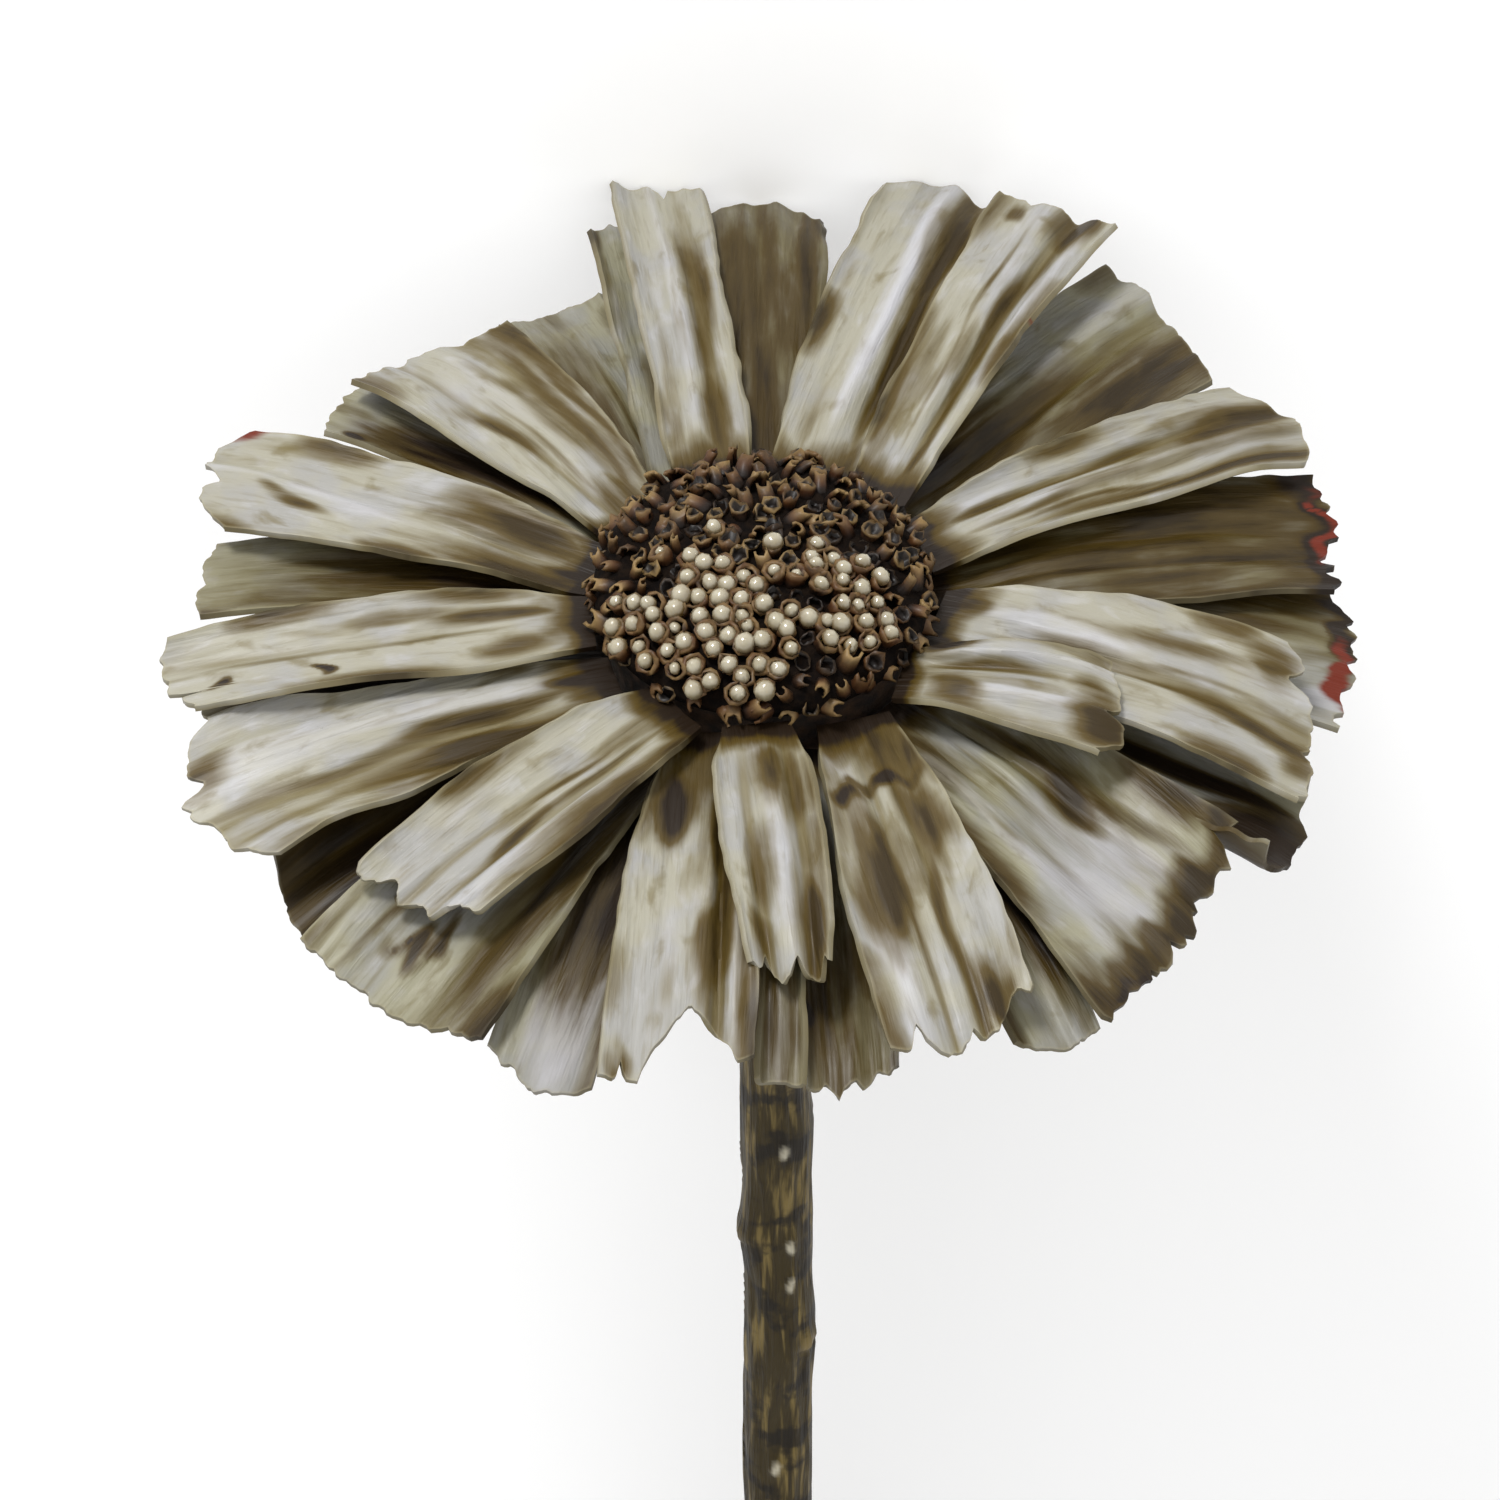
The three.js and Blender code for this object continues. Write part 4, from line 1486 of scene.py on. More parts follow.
@dataclass
class LeafRow:
    """A row of bracts or scales that share a finish and their plates' steps."""

    prefix: str
    slot: str
    finish: WaxedLeafFinish
    long_steps: int
    short_steps: int
    fine_steps: tuple[int, int]
    first_seed: int
    usual: LeafShape = field(default_factory=LeafShape)
    thickness: float = 0.9

    def build(self, head: HeadFrame) -> None:
        """Builds and dresses every leaf of the row.

        Args:
            head: the flower's axes.
        """
        material = self.finish.build()
        for index, node in enumerate(nodes_called(self.prefix)):
            surface = PlateSurface.from_node(node, head, self.long_steps, self.short_steps)
            leaf = Leaf(
                head,
                surface,
                LEAF_SHAPES.get(node, self.usual),
                self.first_seed + index,
                self.fine_steps,
                thickness=self.thickness,
            )
            finish_piece(leaf.build(), f"waxed_{node}", [node], material)


# ---- Florets ----


@dataclass
class Cluster:
    """Many small copies of a few models, gathered into one mesh."""

    points: list[Array] = field(default_factory=list)
    faces: list[list[int]] = field(default_factory=list)
    tones: list[Array] = field(default_factory=list)
    count: int = 0

    def add(self, points: Array, faces: list[list[int]], tones: Array) -> None:
        """Adds one copy.

        Args:
            points: its points in the flower's mm.
            faces: its faces as point numbers.
            tones: three tones for each point.
        """
        self.faces.extend([[i + self.count for i in face] for face in faces])
        self.points.append(points)
        self.tones.append(tones)
        self.count += len(points)

    def build(self, head: HeadFrame, name: str) -> bpy.types.Object:
        """Makes the joined mesh.

        Args:
            head: the flower's axes.
            name: name of the mesh.

        Returns:
            The object, in place.
        """
        start_fresh()
        mesh = bpy.data.meshes.new(name)
        mesh.from_pydata(head.world(np.concatenate(self.points)).tolist(), [], self.faces)
        mesh.shade_smooth()
        obj = bpy.data.objects.new(name, mesh)
        bpy.context.scene.collection.objects.link(obj)
        set_attribute(obj, TONES, list(np.concatenate(self.tones).T))
        return obj


def take_model(obj: bpy.types.Object) -> tuple[Array, list[list[int]]]:
    """Reads a small model and removes its object.

    Args:
        obj: the model, in mm.

    Returns:
        Its points and faces.
    """
    points = positions(obj)
    faces = [list(polygon.vertices) for polygon in obj.data.polygons]
    bpy.data.objects.remove(obj)
    return points, faces


@dataclass
class FloretDome:
    """The mound of cut floret stubs and wax beads in the middle of the head; lengths in mm."""

    # Ovals where the wax has beaded: middle to the right and towards the top, and half sizes.
    BEADED_PATCHES = ((-4.0, -7.6, 9.2, 6.6), (6.2, -5.2, 4.6, 5.0))
    THIN_PATCH = (-2.0, 0.2, 6.5, 2.6)
    # Pits: middle to the right and towards the top, and radius.
    PITS = (
        (1.2, -4.2, 1.5), (4.0, -10.2, 1.6), (-7.6, -2.2, 1.3), (3.4, -4.8, 1.3), (6.6, 1.0, 1.6),
        (-6.2, 3.2, 1.2), (1.5, 2.4, 1.3), (-3.5, 6.4, 1.2), (10.4, -1.0, 1.6), (4.6, 6.6, 1.2),
    )

    head: HeadFrame
    count: int = 215
    bed_drop: float = 0.5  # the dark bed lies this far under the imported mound's surface
    packed_stub_rise: float = 1.5
    rim_height: float = 0.8
    tube_radius: float = 0.82
    bead_radius: float = 0.84
    collar_radius: float = 1.02
    rim_count: int = 44  # stubs that lean out of the mound's side
    seat: float = field(init=False)  # height of the mound's foot on the flower's axis
    radius: float = field(init=False)
    height: float = field(init=False)

    def __post_init__(self) -> None:
        """Reads the mound's radius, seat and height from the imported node."""
        points = self.head.local(node_points("floret_dome")[0])
        reach = np.hypot(points[:, 0], points[:, 1])
        self.seat = float(points[:, 2].min())
        self.radius = float(reach[points[:, 2] < self.seat + 0.01].max())
        self.height = float(points[:, 2].max()) - self.packed_stub_rise - self.seat

    def surface_height(self, reach: Array) -> Array:
        """Finds the height of the mound's surface at a distance from the axis."""
        bulge = np.sqrt(np.clip(1 - (reach / self.radius) ** 2, 0, 1))
        return self.seat + self.rim_height + (self.height - self.rim_height) * bulge

    def tube_model(self) -> tuple[Array, list[list[int]]]:
        """Models a hollow floret stub, 1 mm in radius and 1 mm high over a sunk foot.

        Returns:
            Its points and faces.
        """
        start_fresh()
        bpy.ops.mesh.primitive_circle_add(vertices=9, radius=0.8, fill_type="NGON", location=(0, 0, -0.8))
        bpy.ops.object.transform_apply(location=True)
        obj = bpy.context.active_object
        bpy.ops.object.mode_set(mode="EDIT")
        bpy.ops.mesh.select_all(action="SELECT")
        for rise, spread in ((0.8, 1.05), (0.5, 1.1), (0.5, 1.1)):
            bpy.ops.mesh.extrude_region_move(TRANSFORM_OT_translate={"value": (0, 0, rise)})
            bpy.ops.transform.resize(value=(spread, spread, 1), center_override=(0, 0, 0))
        bpy.ops.mesh.inset(thickness=0.32, depth=0)
        bpy.ops.mesh.extrude_region_move(TRANSFORM_OT_translate={"value": (0, 0, -0.75)})
        bpy.ops.mesh.select_all(action="SELECT")
        bpy.ops.mesh.normals_make_consistent(inside=False)
        bpy.ops.object.mode_set(mode="OBJECT")
        return take_model(obj)

    def curl_model(self) -> tuple[Array, list[list[int]]]:
        """Models a dry floret lobe: a strip 1 mm high, rolled into a C and bent outwards.

        Returns:
            Its points and faces.
        """
        start_fresh()
        bpy.ops.mesh.primitive_grid_add(x_subdivisions=5, y_subdivisions=6, size=2)
        obj = bpy.context.active_object
        grid = positions(obj)
        turn = grid[:, 0] * math.radians(115)
        rise = (grid[:, 1] + 1) / 2
        bend = 0.9 * rise**2
        width = 0.75 - 0.25 * rise
        points = np.stack([width * np.sin(turn), bend - width * np.cos(turn), 1.35 * rise - 0.3], 1)
        set_positions(obj, points)
        solid = obj.modifiers.new("thickness", "SOLIDIFY")
        solid.thickness = 0.2
        solid.offset = 0
        bpy.ops.object.modifier_apply(modifier=solid.name)
        return take_model(obj)

    def bead_model(self) -> tuple[Array, list[list[int]]]:
        """Models a drop of wax, a little flattened, 1 mm in radius.

        Returns:
            Its points and faces.
        """
        start_fresh()
        bpy.ops.mesh.primitive_uv_sphere_add(segments=12, ring_count=8, radius=1)
        obj = bpy.context.active_object
        points = positions(obj)
        points[:, 2] *= 0.9
        set_positions(obj, points)
        return take_model(obj)

    @staticmethod
    def from_patch(x: float, y: float, patch: tuple[float, float, float, float]) -> float:
        """Measures how far a place is from the middle of an oval patch.

        Args:
            x: place to the right, in mm.
            y: place towards the top of the face.
            patch: its middle and its half sizes, to the right and towards the top.

        Returns:
            The square of the distance, which is 1 at the patch's edge.
        """
        middle_x, middle_y, half_width, half_height = patch
        return ((x - middle_x) / half_width) ** 2 + ((y - middle_y) / half_height) ** 2

    def beaded(self, x: float, y: float, doubt: float) -> bool:
        """Tells whether the wax has beaded at a place on the mound.

        Args:
            x: place to the right, in mm.
            y: place towards the top of the face.
            doubt: random number between 0 and 1.

        Returns:
            True inside the beaded patches, now and then in the thin one.
        """
        near = min(self.from_patch(x, y, patch) for patch in self.BEADED_PATCHES)
        thin = self.from_patch(x, y, self.THIN_PATCH)
        return near < 0.8 + 0.35 * doubt or (thin < 1 and doubt < 0.35)

    def empty(self, x: float, y: float) -> bool:
        """Tells whether a floret has sunk at a place, which leaves a black pit."""
        return any(math.hypot(x - px, y - py) < radius for px, py, radius in self.PITS)

    def build_bed(self) -> None:
        """Builds the near-black bed that the florets stand in, seen as black pits between them: partly the
        dark bed, partly painted shade in the pits.
        """
        start_fresh()
        bpy.ops.mesh.primitive_uv_sphere_add(segments=72, ring_count=36, radius=1)
        obj = bpy.context.active_object
        ball = positions(obj)
        reach = np.hypot(ball[:, 0], ball[:, 1]) * self.radius
        noise = SmoothNoise(71)
        x, y = ball[:, 0] * self.radius, ball[:, 1] * self.radius
        top = self.surface_height(reach) - self.bed_drop + 0.3 * noise.at(x / 0.9, y / 0.9)
        z = np.where(ball[:, 2] > 1e-6, np.maximum(top, self.seat + 0.2), self.seat)
        set_positions(obj, self.head.world(np.stack([x, y, z], 1)))
        obj.data.shade_smooth()
        # Near-black bed with little sheen: partly the dark bed, partly painted shade in the pits between the
        # florets.
        finish = DryWoodFinish("dark_floret_bed", "#140c06", "#060302", 0.8, 0.9, 0.3, wax=0.0, specular=0.1)
        finish_piece(obj, "floret_bed", ["floret_dome"], finish.build())

    def build_florets(self) -> None:
        """Builds the stubs and beads, in the sunflower spiral of the real head."""
        models = FloretModels(self.tube_model(), self.curl_model(), self.bead_model())
        maker = FloretMaker(self, models, np.random.default_rng(2024))
        for index in range(self.count):
            reach = self.radius * 0.985 * math.sqrt((index + 0.5) / self.count)
            azimuth = index * GOLDEN_ANGLE
            maker.add_floret(reach * math.cos(azimuth), reach * math.sin(azimuth))
        for index in range(self.rim_count):
            maker.add_rim_stub(2 * math.pi * index / self.rim_count)
        husk = DryWoodFinish(
            name="dry_floret_husk",
            light="#4c3119",
            dark="#241409",
            grain_mm=1.1,
            roughness=0.55,
            bump_mm=0.12,
            height_tint=True,
            wax=0.1,
            specular=0.25,
        )
        stubs = maker.stubs.build(self.head, "floret_stubs")
        finish_piece(stubs, "floret_stubs", ["floret_dome"], husk.build())
        beads = maker.beads.build(self.head, "wax_beads")
        finish_piece(beads, "wax_beads", ["floret_dome"], WaxBeadFinish().build())

    def build(self) -> None:
        """Builds the bed, the stubs and the beads."""
        self.build_bed()
        self.build_florets()


@dataclass(frozen=True)
class FloretModels:
    """Points and faces of a hollow stub, a curled lobe and a bead."""

    tube: tuple[Array, list[list[int]]]
    curl: tuple[Array, list[list[int]]]
    bead: tuple[Array, list[list[int]]]


@dataclass
class FloretMaker:
    """Sets stubs and beads on the mound, each a little different; lengths in mm."""

    dome: FloretDome
    models: FloretModels
    random: np.random.Generator
    stubs: Cluster = field(default_factory=Cluster)
    beads: Cluster = field(default_factory=Cluster)

    @staticmethod
    def placed(points: Array, spot: Array, outward: Array, spin: float) -> Array:
        """Turns a model upright to the mound and puts it at its spot.

        Args:
            points: model points.
            spot: foot of the copy.
            outward: unit vector that its axis follows.
            spin: turn about its own axis, in radians.

        Returns:
            The copy's points.
        """
        side = np.cross(outward, [0.31, 0.17, 0.94])
        side /= np.linalg.norm(side)
        other = np.cross(outward, side)
        x = side * math.cos(spin) + other * math.sin(spin)
        y = other * math.cos(spin) - side * math.sin(spin)
        return spot + points @ np.stack([x, y, outward])

    def outward(self, x: float, y: float, spread: float) -> Array:
        """A leaning unit vector out of the mound at a place.

        Args:
            x: place to the right.
            y: place towards the top of the face.
            spread: how far the vectors fan out from the axis.

        Returns:
            The unit vector.
        """
        lean = self.random.normal(0, 0.2, 2)
        radius = self.dome.radius
        vector = np.array([x / radius * spread + lean[0], y / radius * spread + lean[1], 1.1])
        return vector / np.linalg.norm(vector)

    def add_floret(self, x: float, y: float) -> None:
        """Adds the floret that belongs at a place: a bead, a stub, a lobe or a sunk stump.

        Args:
            x: place to the right.
            y: place towards the top of the face.
        """
        x, y = x + self.random.normal(0, 0.16), y + self.random.normal(0, 0.16)
        doubt, spin = self.random.random(), self.random.uniform(0, 2 * math.pi)
        size = self.random.uniform(0.85, 1.15)
        reach = min(math.hypot(x, y), self.dome.radius)
        outward = self.outward(x, y, 0.9)
        height = float(self.dome.surface_height(np.array(reach)))
        spot = np.array([x, y, height - self.dome.bed_drop])
        if self.dome.empty(x, y):
            # A sunk stump is painted dark as shade in its pit.
            self.add_tube(spot - outward * 0.45, outward, spin, size, 0.7)
        elif self.dome.beaded(x, y, doubt):
            self.add_bead(spot, outward, spin, size)
        elif doubt < 0.42 + 0.25 * reach / self.dome.radius:
            self.add_curl(spot, outward, size)
        else:
            self.add_tube(spot, outward, spin, size, 0.0)

    def add_rim_stub(self, azimuth: float) -> None:
        """Adds a stub that leans out of the mound's side.

        Args:
            azimuth: bearing from the mound's middle, in radians.
        """
        azimuth += self.random.normal(0, 0.04)
        radius = self.dome.radius - 0.6
        x, y = radius * math.cos(azimuth), radius * math.sin(azimuth)
        outward = self.outward(x, y, self.random.uniform(1.2, 2.6))
        spot = np.array([x, y, self.dome.seat + self.random.uniform(-0.3, 0.6)])
        if self.random.random() < 0.6:
            self.add_curl(spot, outward, 1.2)
        else:
            # Stubs that lean out under the bracts are painted a little darker as shade.
            self.add_tube(spot, outward, self.random.uniform(0, 6), 0.95, 0.35)

    def add_tube(self, spot: Array, outward: Array, spin: float, size: float, painted_shade: float) -> None:
        """Adds one hollow stub with a torn rim.

        Args:
            spot: its foot.
            outward: unit vector that its axis follows.
            spin: turn about its own axis.
            size: factor on its width.
            painted_shade: painted shade, how dark the stub is painted in a pit or under the bracts, from 0
                to 1.
        """
        model = self.models.tube[0]
        points = model.copy()
        top = model[:, 2] > 0.9
        inner = np.hypot(model[:, 0], model[:, 1]) < 0.72
        height = self.random.uniform(0.55, 1.15)
        points[:, 2] *= np.where(points[:, 2] > 0, height, 1)
        points[:, 2] += self.random.normal(0, 0.22, len(points)) * top
        points[:, 0] *= self.random.uniform(0.7, 1.15)
        points[:, :2] *= self.dome.tube_radius * size
        points[:, :2] += self.random.normal(0, 0.07, (len(points), 2))
        points[:, 0] += 0.12 * self.random.normal() * np.clip(points[:, 2], 0, 3) ** 2
        tones = np.zeros((len(points), 3))
        tones[:, 0] = top * self.random.uniform(0.1, 1.0) * (1 - painted_shade)
        # Dark inside the hollow and at the foot: painted shade.
        tones[:, 1] = np.clip(np.where(inner | (model[:, 2] < 0.3), 0.95, 0.0) + painted_shade, 0, 1)
        tones[:, 2] = 0.5 * (self.random.random() < 0.35)
        self.stubs.add(self.placed(points, spot, outward, spin), self.models.tube[1], tones)

    def add_curl(self, spot: Array, outward: Array, size: float) -> None:
        """Adds one curled lobe.

        Args:
            spot: its foot.
            outward: unit vector that its axis follows.
            size: factor on its width.
        """
        model = self.models.curl[0]
        points = model.copy()
        rise = np.clip(model[:, 2] / 1.05, 0, 1)
        points[:, :2] *= size * self.random.uniform(0.75, 1.2)
        points[:, 2] *= self.random.uniform(0.7, 1.5)
        points[:, 2] += self.random.normal(0, 0.12, len(points)) * rise
        tones = np.zeros((len(points), 3))
        tones[:, 0] = rise**4 * self.random.uniform(0.1, 1.0)
        # Darker towards the foot: painted shade between the crowded stubs.
        tones[:, 1] = np.clip(1.6 * (0.7 - rise), 0, 0.95)
        tones[:, 2] = 0.6 * (self.random.random() < 0.4)
        spin = self.random.uniform(-math.pi, math.pi)
        self.stubs.add(self.placed(points, spot, outward, spin), self.models.curl[1], tones)

    def add_bead(self, spot: Array, outward: Array, spin: float, size: float) -> None:
        """Adds one bead of wax in the torn collar of a short stub.

        Args:
            spot: its foot.
            outward: unit vector that its axis follows.
            spin: turn about its own axis.
            size: factor on its size.
        """
        model = self.models.tube[0]
        collar = model.copy()
        top = model[:, 2] > 0.9
        collar[:, 2] *= np.where(collar[:, 2] > 0, self.random.uniform(0.95, 1.25), 1)
        collar[:, 2] += self.random.normal(0, 0.2, len(collar)) * top
        collar[:, :2] *= self.dome.collar_radius * self.random.uniform(0.9, 1.1)
        collar[:, :2] += self.random.normal(0, 0.08, (len(collar), 2))
        tones = np.zeros((len(collar), 3))
        tones[:, 0] = self.random.uniform(0.0, 0.6, len(collar)) * top
        # Dark at the foot: painted shade.
        tones[:, 1] = 0.9 * (model[:, 2] < 0.3)
        tones[:, 2] = 0.5 * (self.random.random() < 0.5)
        self.stubs.add(self.placed(collar, spot, outward, spin), self.models.tube[1], tones)
        ball = self.models.bead[0]
        radius = self.dome.bead_radius * size * self.random.uniform(0.75, 1.05)
        points = ball * radius
        points[:, 0] *= self.random.uniform(0.85, 1.1)
        points += self.random.normal(0, 0.03, points.shape)
        points[:, :2] += self.random.normal(0, 0.12, 2)
        points[:, 2] += 0.85 + 0.4 * self.random.random()
        tone = np.zeros((len(points), 3))
        # Brown towards the foot, pale on the cap: painted shade.
        tone[:, 0] = np.clip(1.12 - ball[:, 2], 0, 1) ** 1.1 * self.random.uniform(0.8, 1.0)
        self.beads.add(self.placed(points, spot, outward, spin), self.models.bead[1], tone)


# ---- Cup and stem ----


@dataclass
class Receptacle:
    """The woody cup behind the bracts, turned finely on its packed profile."""

    head: HeadFrame
    roughness: float = 0.25  # height of the bumps, mm

    def build(self) -> None:
        packed = self.head.local(node_points("receptacle")[0])
        reach = np.hypot(packed[:, 0], packed[:, 1])
        heights = np.unique(np.round(packed[:, 2], 1))
        profile = [(0.0, heights[0])]
        for height in heights:
            profile.append((float(reach[np.abs(packed[:, 2] - height) < 0.06].max()), height))
        profile.append((0.0, heights[-1]))
        outline = np.array(profile)
        walked = np.concatenate([[0], np.cumsum(np.linalg.norm(np.diff(outline, axis=0), axis=1))])

        start_fresh()
        bpy.ops.mesh.primitive_uv_sphere_add(segments=96, ring_count=64, radius=1)
        obj = bpy.context.active_object
        ball = positions(obj)
        share = 1 - np.arccos(np.clip(ball[:, 2], -1, 1)) / math.pi
        azimuth = np.arctan2(ball[:, 1], ball[:, 0])
        radius = np.interp(share * walked[-1], walked, outline[:, 0])
        height = np.interp(share * walked[-1], walked, outline[:, 1])
        noise = SmoothNoise(5)
        bumps = self.roughness * noise.at(azimuth * 16 / math.pi + 16, height / 1.6)
        radius = np.maximum(radius + bumps * (radius > 1), 0)
        points = np.stack([radius * np.cos(azimuth), radius * np.sin(azimuth), height], 1)
        set_positions(obj, self.head.world(points))
        obj.data.shade_smooth()
        finish = DryWoodFinish("dry_receptacle_wood", "#3a2716", "#140c07", 1.6, 0.75, 0.4)
        finish_piece(obj, "woody_cup", ["receptacle"], finish.build())


@dataclass
class BarkRelief:
    """Radius and tones of the stem at each of its points.

    Attributes:
        radius: distance from the stem's middle line in mm.
        dark: 1 in the near-black ledges of the scars and the cracks of the cut ends.
        tan: 1 on the worn pads of the scars and on the cut ends.
        milky: 1 on the drops of wax, pale partly as milky wax and partly as painted glints.
    """

    radius: Array
    dark: Array
    tan: Array
    milky: Array


@dataclass
class Stem:
    """The cut woody shoot with leaf scars, fissured bark and drops of wax; lengths in mm."""

    GIRTH = 3.0  # radius that turns an angle about the middle line into a distance on the bark
    BEARINGS = 49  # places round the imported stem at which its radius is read

    head: HeadFrame
    segments: int = 64
    rings: int = 520
    cap_rings: int = 6  # rings of each cut end
    sunk_top: float = 0.9
    scar_spacing: float = 14.0
    scar_rise: float = 0.3
    ledge_depth: float = 0.25
    fissure: float = 0.14
    waver: float = 0.22
    drop_rise: float = 0.28
    # Drops of wax, pale partly as wax and partly as painted glints: distance down from the top of the stem,
    # and azimuth in degrees.
    drops: tuple[tuple[float, float], ...] = (
        (43, -80), (56, -62), (61, -66), (86, -92), (120, 60), (150, 200),
    )

    def packed_rings(self) -> tuple[Array, Array, Array]:
        """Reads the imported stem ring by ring.

        Returns:
            Heights of the rings from the top down, their middles, and their radii at even bearings.
        """
        packed = self.head.local(node_points("stem")[0])
        levels = np.unique(np.round(packed[:, 2], 2))[::-1]
        bearings = np.linspace(-math.pi, math.pi, self.BEARINGS)
        middles, radii = [], []
        for level in levels:
            ring = packed[np.abs(packed[:, 2] - level) < 0.02]
            middle = (ring[:, :2].max(0) + ring[:, :2].min(0)) / 2
            spoke = ring[:, :2] - middle
            reach = np.linalg.norm(spoke, axis=1)
            outer = reach > 1
            turn = np.arctan2(spoke[outer, 1], spoke[outer, 0])
            order = np.argsort(turn)
            middles.append(middle)
            radii.append(np.interp(bearings, turn[order], reach[outer][order], period=2 * math.pi))
        return levels, np.array(middles), np.array(radii)

    def follow_rings(
        self, azimuth: Array, level: Array, rings: tuple[Array, Array, Array]
    ) -> tuple[Array, Array]:
        """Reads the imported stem's middle line and radius at points of the fine one.

        Args:
            azimuth: bearing of each point from the middle line, in radians.
            level: height of each point on the flower's axis.
            rings: heights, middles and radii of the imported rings.

        Returns:
            The middle and the radius at each point.
        """
        levels, middles, radii = rings
        middle = np.stack([np.interp(-level, -levels, middles[:, i]) for i in range(2)], 1)
        row = np.interp(-level, -levels, np.arange(len(levels)))
        low = np.floor(row).astype(int)
        high = np.minimum(low + 1, len(levels) - 1)
        blend = row - low
        spot = (azimuth + math.pi) / (2 * math.pi) * (self.BEARINGS - 1)
        left = np.clip(np.floor(spot).astype(int), 0, self.BEARINGS - 2)
        aside = spot - left
        by_row = radii[:, left] * (1 - aside) + radii[:, left + 1] * aside
        each = np.arange(len(aside))
        return middle, by_row[low, each] * (1 - blend) + by_row[high, each] * blend

    def bark_distance(self, azimuth: Array, bearing: float) -> Array:
        """Measures how far round the bark points are from a bearing, in mm."""
        return ((azimuth - bearing + math.pi) % (2 * math.pi) - math.pi) * self.GIRTH

    def add_fissures(self, bark: BarkRelief, azimuth: Array, depth: Array, noise: SmoothNoise) -> None:
        """Adds lengthwise fissures and a slow waver to the bark.

        Args:
            bark: the bark so far.
            azimuth: bearing of each point.
            depth: distance of each point down from the top.
            noise: noise of the stem.
        """
        around = azimuth * SmoothNoise.SIZE / (2 * math.pi)  # the noise closes on itself
        bark.radius += self.fissure * noise.at(around * 0.5, depth / 8)
        bark.radius += 0.5 * self.fissure * noise.at(around + 7, depth / 4.5)
        bark.radius += self.waver * noise.at(around / 8, depth / 9)

    def add_scars(self, bark: BarkRelief, azimuth: Array, depth: Array, length: float) -> None:
        """Adds the leaf scars in a spiral: a knob with a worn pad over a dark ledge.

        Args:
            bark: the bark so far.
            azimuth: bearing of each point.
            depth: distance of each point down from the top.
            length: length of the stem.
        """
        for number in range(1, int(length / self.scar_spacing)):
            arc = self.bark_distance(azimuth, number * GOLDEN_ANGLE)
            step = depth - number * self.scar_spacing
            knob = np.exp(-((arc / 1.6) ** 2) - ((step / 1.5) ** 2))
            pad = np.exp(-((arc / 1.0) ** 2) - ((step / 0.9) ** 2))
            ledge = np.exp(-((arc / 1.5) ** 2) - (((step - 1.0 + 0.25 * arc**2) / 0.35) ** 2))
            bark.radius += self.scar_rise * knob - self.ledge_depth * ledge
            bark.dark = np.maximum(bark.dark, ledge)
            bark.tan = np.maximum(bark.tan, 0.7 * pad)

    def add_drops(self, bark: BarkRelief, azimuth: Array, depth: Array, noise: SmoothNoise) -> None:
        """Adds the drops of wax, raised, pale partly as wax and partly as painted glints.

        Args:
            bark: the bark so far.
            azimuth: bearing of each point.
            depth: distance of each point down from the top.
            noise: noise of the stem.
        """
        for down, bearing in self.drops:
            arc = self.bark_distance(azimuth, math.radians(bearing)) + 0.25 * noise.at(depth / 0.9, down)
            drop = np.exp(-((arc / 0.42) ** 2) - (((depth - down) / 1.1) ** 2))
            bark.radius += self.drop_rise * drop
            bark.milky = np.maximum(bark.milky, 0.7 * smoothstep(0.25, 0.9, drop))

    @staticmethod
    def close_ends(bark: BarkRelief, cap: Array) -> None:
        """Closes both cut ends with flat pale wood and its dark rings.

        Args:
            bark: the bark so far.
            cap: 0 in the middle of a cut end, 1 at its rim and over 1 on the side.
        """
        flat = cap < 1
        bark.radius = np.where(flat, bark.radius * cap, bark.radius)
        bark.dark = np.where(flat, 0.35 * (1 + np.sin(cap * 14)) * (cap > 0.3), bark.dark)
        bark.tan = np.where(flat, 0.8, bark.tan)

    def build(self) -> None:
        rings = self.packed_rings()
        top, bottom = float(rings[0][0]), float(rings[0][-1])
        start_fresh()
        bpy.ops.mesh.primitive_uv_sphere_add(segments=self.segments, ring_count=self.rings, radius=1)
        obj = bpy.context.active_object
        ball = positions(obj)
        azimuth = np.arctan2(ball[:, 1], ball[:, 0])
        ring_number = np.arccos(np.clip(ball[:, 2], -1, 1)) / math.pi * self.rings
        side = (ring_number - self.cap_rings) / (self.rings - 2 * self.cap_rings)
        depth = np.clip(side, 0, 1) * (top - bottom)
        cap = np.minimum(ring_number, self.rings - ring_number) / self.cap_rings
        # The top goes a little way into the cup, so that no gap shows.
        level = top - depth + self.sunk_top * (1 - smoothstep(0.0, 1.5, depth))
        middle, radius = self.follow_rings(azimuth, level, rings)

        noise = SmoothNoise(8)
        bark = BarkRelief(radius, *(np.zeros_like(radius) for _ in range(3)))
        self.add_fissures(bark, azimuth, depth, noise)
        self.add_scars(bark, azimuth, depth, top - bottom)
        self.add_drops(bark, azimuth, depth, noise)
        self.close_ends(bark, cap)
        x = middle[:, 0] + bark.radius * np.cos(azimuth)
        y = middle[:, 1] + bark.radius * np.sin(azimuth)
        set_positions(obj, self.head.world(np.stack([x, y, level], 1)))
        obj.data.shade_smooth()
        set_attribute(obj, TONES, [bark.dark, bark.tan, bark.milky])
        set_fibre_map(obj, depth, azimuth * self.GIRTH)
        bpy.ops.object.shade_smooth_by_angle(angle=math.radians(60))
        finish_piece(obj, "bark_stem", ["stem"], WaxedBarkFinish().build())


# ---- Studio ----


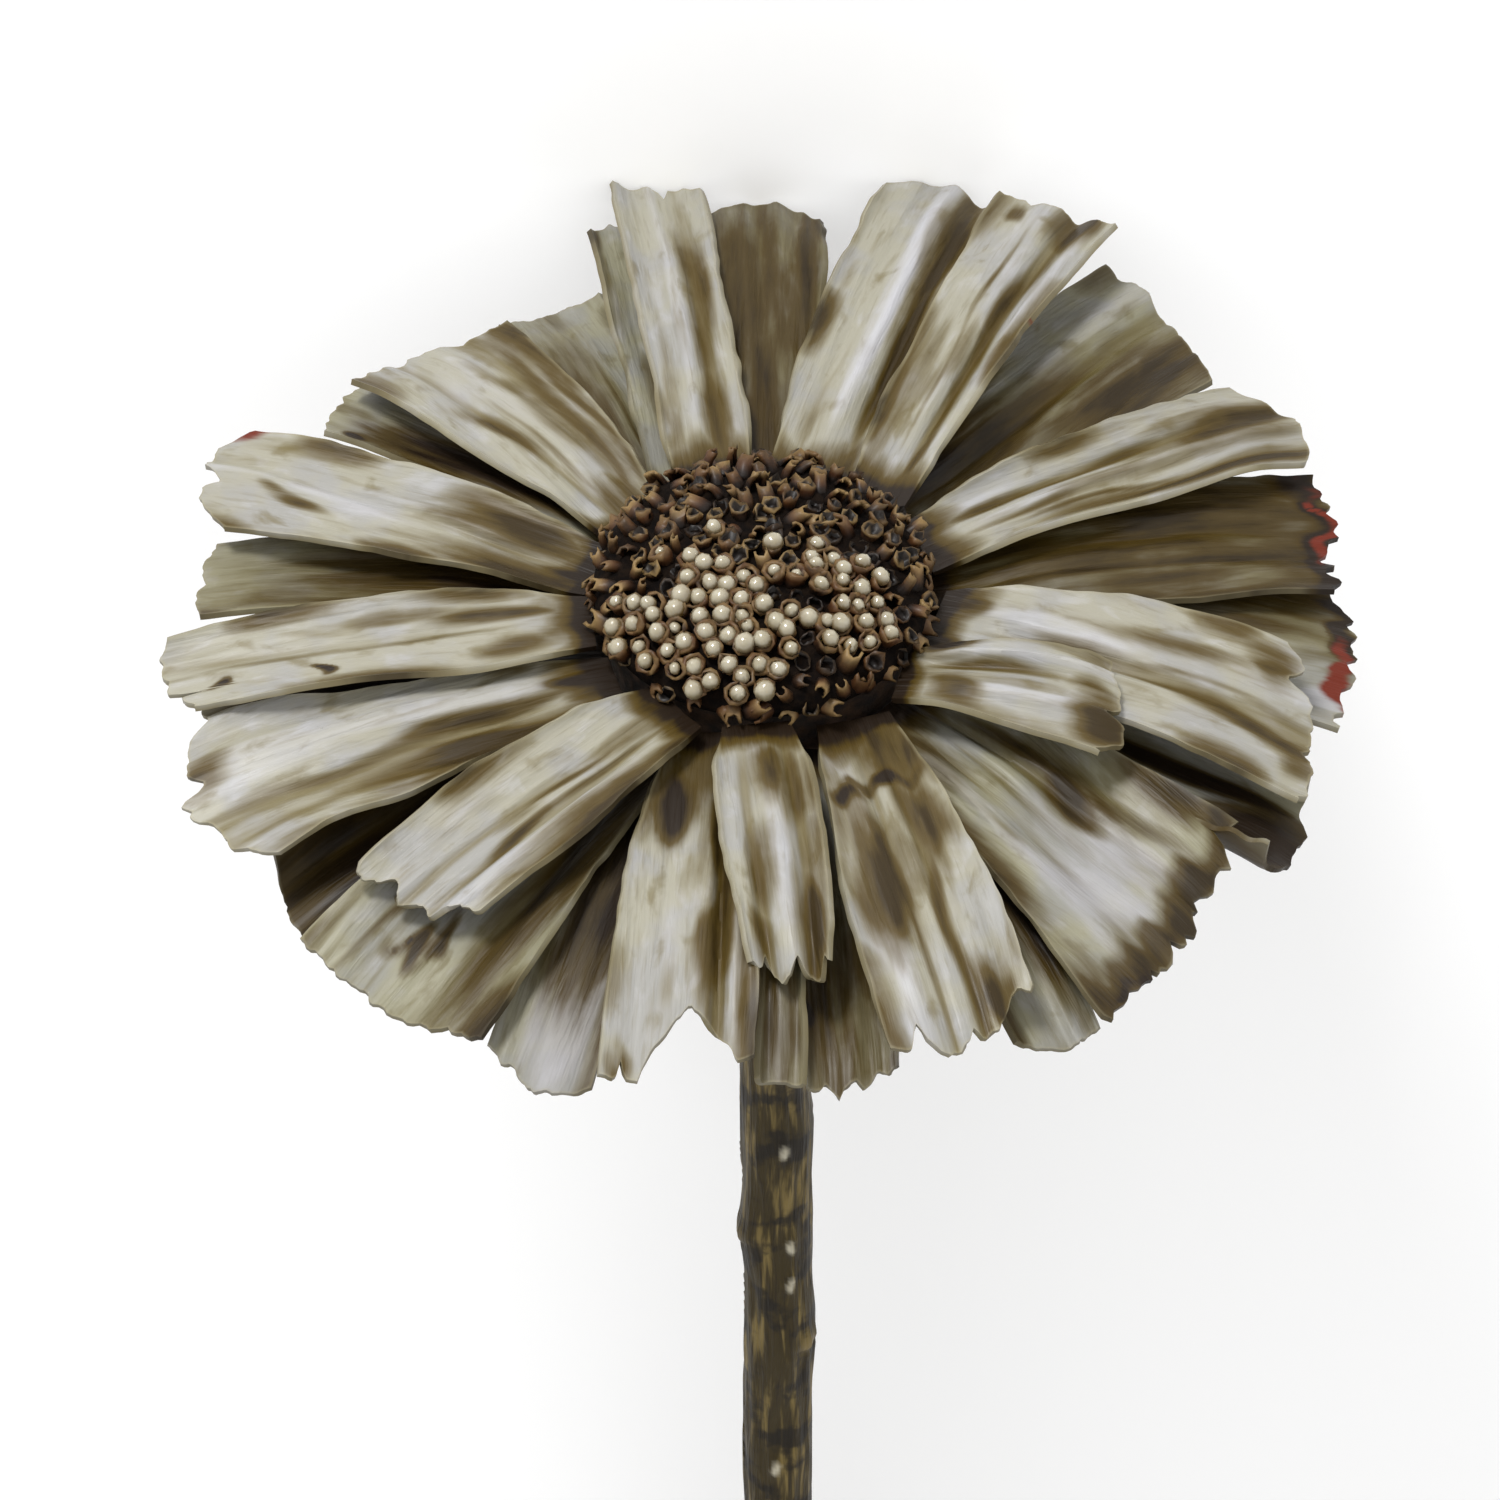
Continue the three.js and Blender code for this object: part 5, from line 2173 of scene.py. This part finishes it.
@dataclass
class Studio:
    """Pale floor, soft lights and the camera."""

    head: HeadFrame
    view_tilt: float = 42.0  # the camera looks at the face from this far below its axis, degrees
    frame_width: float = 126.0  # mm across the view at the head
    sensor: float = 36.0
    lens: float = 400.0
    # Where the middle of the head lies from the middle of the view, mm right and up.
    head_right: float = 1.0
    head_up: float = 12.2
    light_distance: float = 0.9  # metres

    def build(self) -> None:
        """Builds the floor, the world, the lights and the camera."""
        x, y, z = self.head.axes
        tilt = math.radians(self.view_tilt)
        back = z * math.cos(tilt) - y * math.sin(tilt)
        up = y * math.cos(tilt) + z * math.sin(tilt)
        self.build_camera(x, up, back)
        self.build_floor()
        self.build_lights(x, up, back)

    def build_camera(self, right: Array, up: Array, back: Array) -> None:
        """Places the camera.

        Args:
            right: right of the view.
            up: top of the view.
            back: towards the camera.
        """
        camera = bpy.data.cameras.new("camera")
        camera.lens = self.lens
        camera.sensor_width = self.sensor
        camera.clip_end = 20
        obj = bpy.data.objects.new("camera", camera)
        bpy.context.scene.collection.objects.link(obj)
        distance = self.lens * self.frame_width / self.sensor * MM
        target = self.head.origin - (right * self.head_right + up * self.head_up) * MM
        place = target + back * distance
        turn = np.eye(4)
        turn[:3, 0], turn[:3, 1], turn[:3, 2], turn[:3, 3] = right, up, back, place
        obj.matrix_world = Matrix(turn.tolist())
        bpy.context.scene.camera = obj

    def build_floor(self) -> None:
        """Lays a flat sheet of matt white paper, far wider than the view."""
        start_fresh()
        bpy.ops.mesh.primitive_plane_add(size=8, location=(0, 0, 0))
        floor = bpy.context.active_object
        floor.name = "floor"
        material, tree = new_material("matt_white_paper")
        place = add_node(tree, "TexCoord").outputs["Object"]
        noise = add_node(tree, "TexNoise", {"Vector": place, "Scale": 900.0, "Detail": 2.0})
        grain = {"Strength": 0.05, "Distance": 0.1 * MM, "Height": noise.outputs["Fac"]}
        shader = add_node(
            tree,
            "BsdfPrincipled",
            {
                "Base Color": linear_colour("#fdfdfd"),
                "Roughness": 0.9,
                "Specular IOR Level": 0.2,
                "Normal": add_node(tree, "Bump", grain).outputs[0],
            },
        )
        add_node(tree, "OutputMaterial", {"Surface": shader.outputs[0]})
        floor.data.materials.append(material)

    def add_softbox(self, name: str, toward: Array, size: float, power: float) -> None:
        """Adds a round soft light that faces the head.

        Args:
            name: name of the light.
            toward: direction from the head to the light.
            size: its diameter in metres.
            power: its power in watts.
        """
        light = bpy.data.lights.new(name, "AREA")
        light.shape = "DISK"
        light.size = size
        light.energy = power
        obj = bpy.data.objects.new(name, light)
        bpy.context.scene.collection.objects.link(obj)
        toward = toward / np.linalg.norm(toward)
        side = np.cross([0, 0, 1.0], toward)
        side /= np.linalg.norm(side)
        turn = np.eye(4)
        turn[:3, 0], turn[:3, 1], turn[:3, 2] = side, np.cross(toward, side), toward
        turn[:3, 3] = self.head.origin + toward * self.light_distance
        obj.matrix_world = Matrix(turn.tolist())

    def build_lights(self, right: Array, up: Array, back: Array) -> None:
        """Makes a bright room, a key softbox from the view's upper left and a weak fill.

        Args:
            right: right of the view.
            up: top of the view.
            back: towards the camera.
        """
        world = bpy.data.worlds.new("white_room")
        bpy.context.scene.world = world
        world.use_nodes = True
        room = world.node_tree.nodes["Background"].inputs
        room["Color"].default_value = (1, 1, 1, 1)
        room["Strength"].default_value = 1.0
        self.add_softbox("key", -0.26 * right + 0.62 * up + 0.65 * back, 0.25, 7.5)
        self.add_softbox("fill", 0.85 * right + 0.10 * up + 0.60 * back, 0.6, 0.15)
        view = bpy.context.scene.view_settings
        view.view_transform = "Standard"
        view.look = "None"


def main() -> None:
    """Builds the flower and the studio in order."""
    logging.basicConfig(level=logging.INFO, format="%(message)s")
    head = HeadFrame.of_lying_flower()
    Studio(head).build()
    LeafRow("inner_bract", "inner_bract_wax", INNER_WAX, 8, 4, (104, 44), 100).build(head)
    LeafRow("outer_bract", "outer_bract_wax", OUTER_WAX, 8, 4, (90, 40), 200).build(head)
    LeafRow("base_scale", "base_scale_wax", SCALE_WAX, 5, 2, (46, 26), 300).build(head)
    FloretDome(head).build()
    Receptacle(head).build()
    Stem(head).build()


if __name__ == "__main__":
    main()
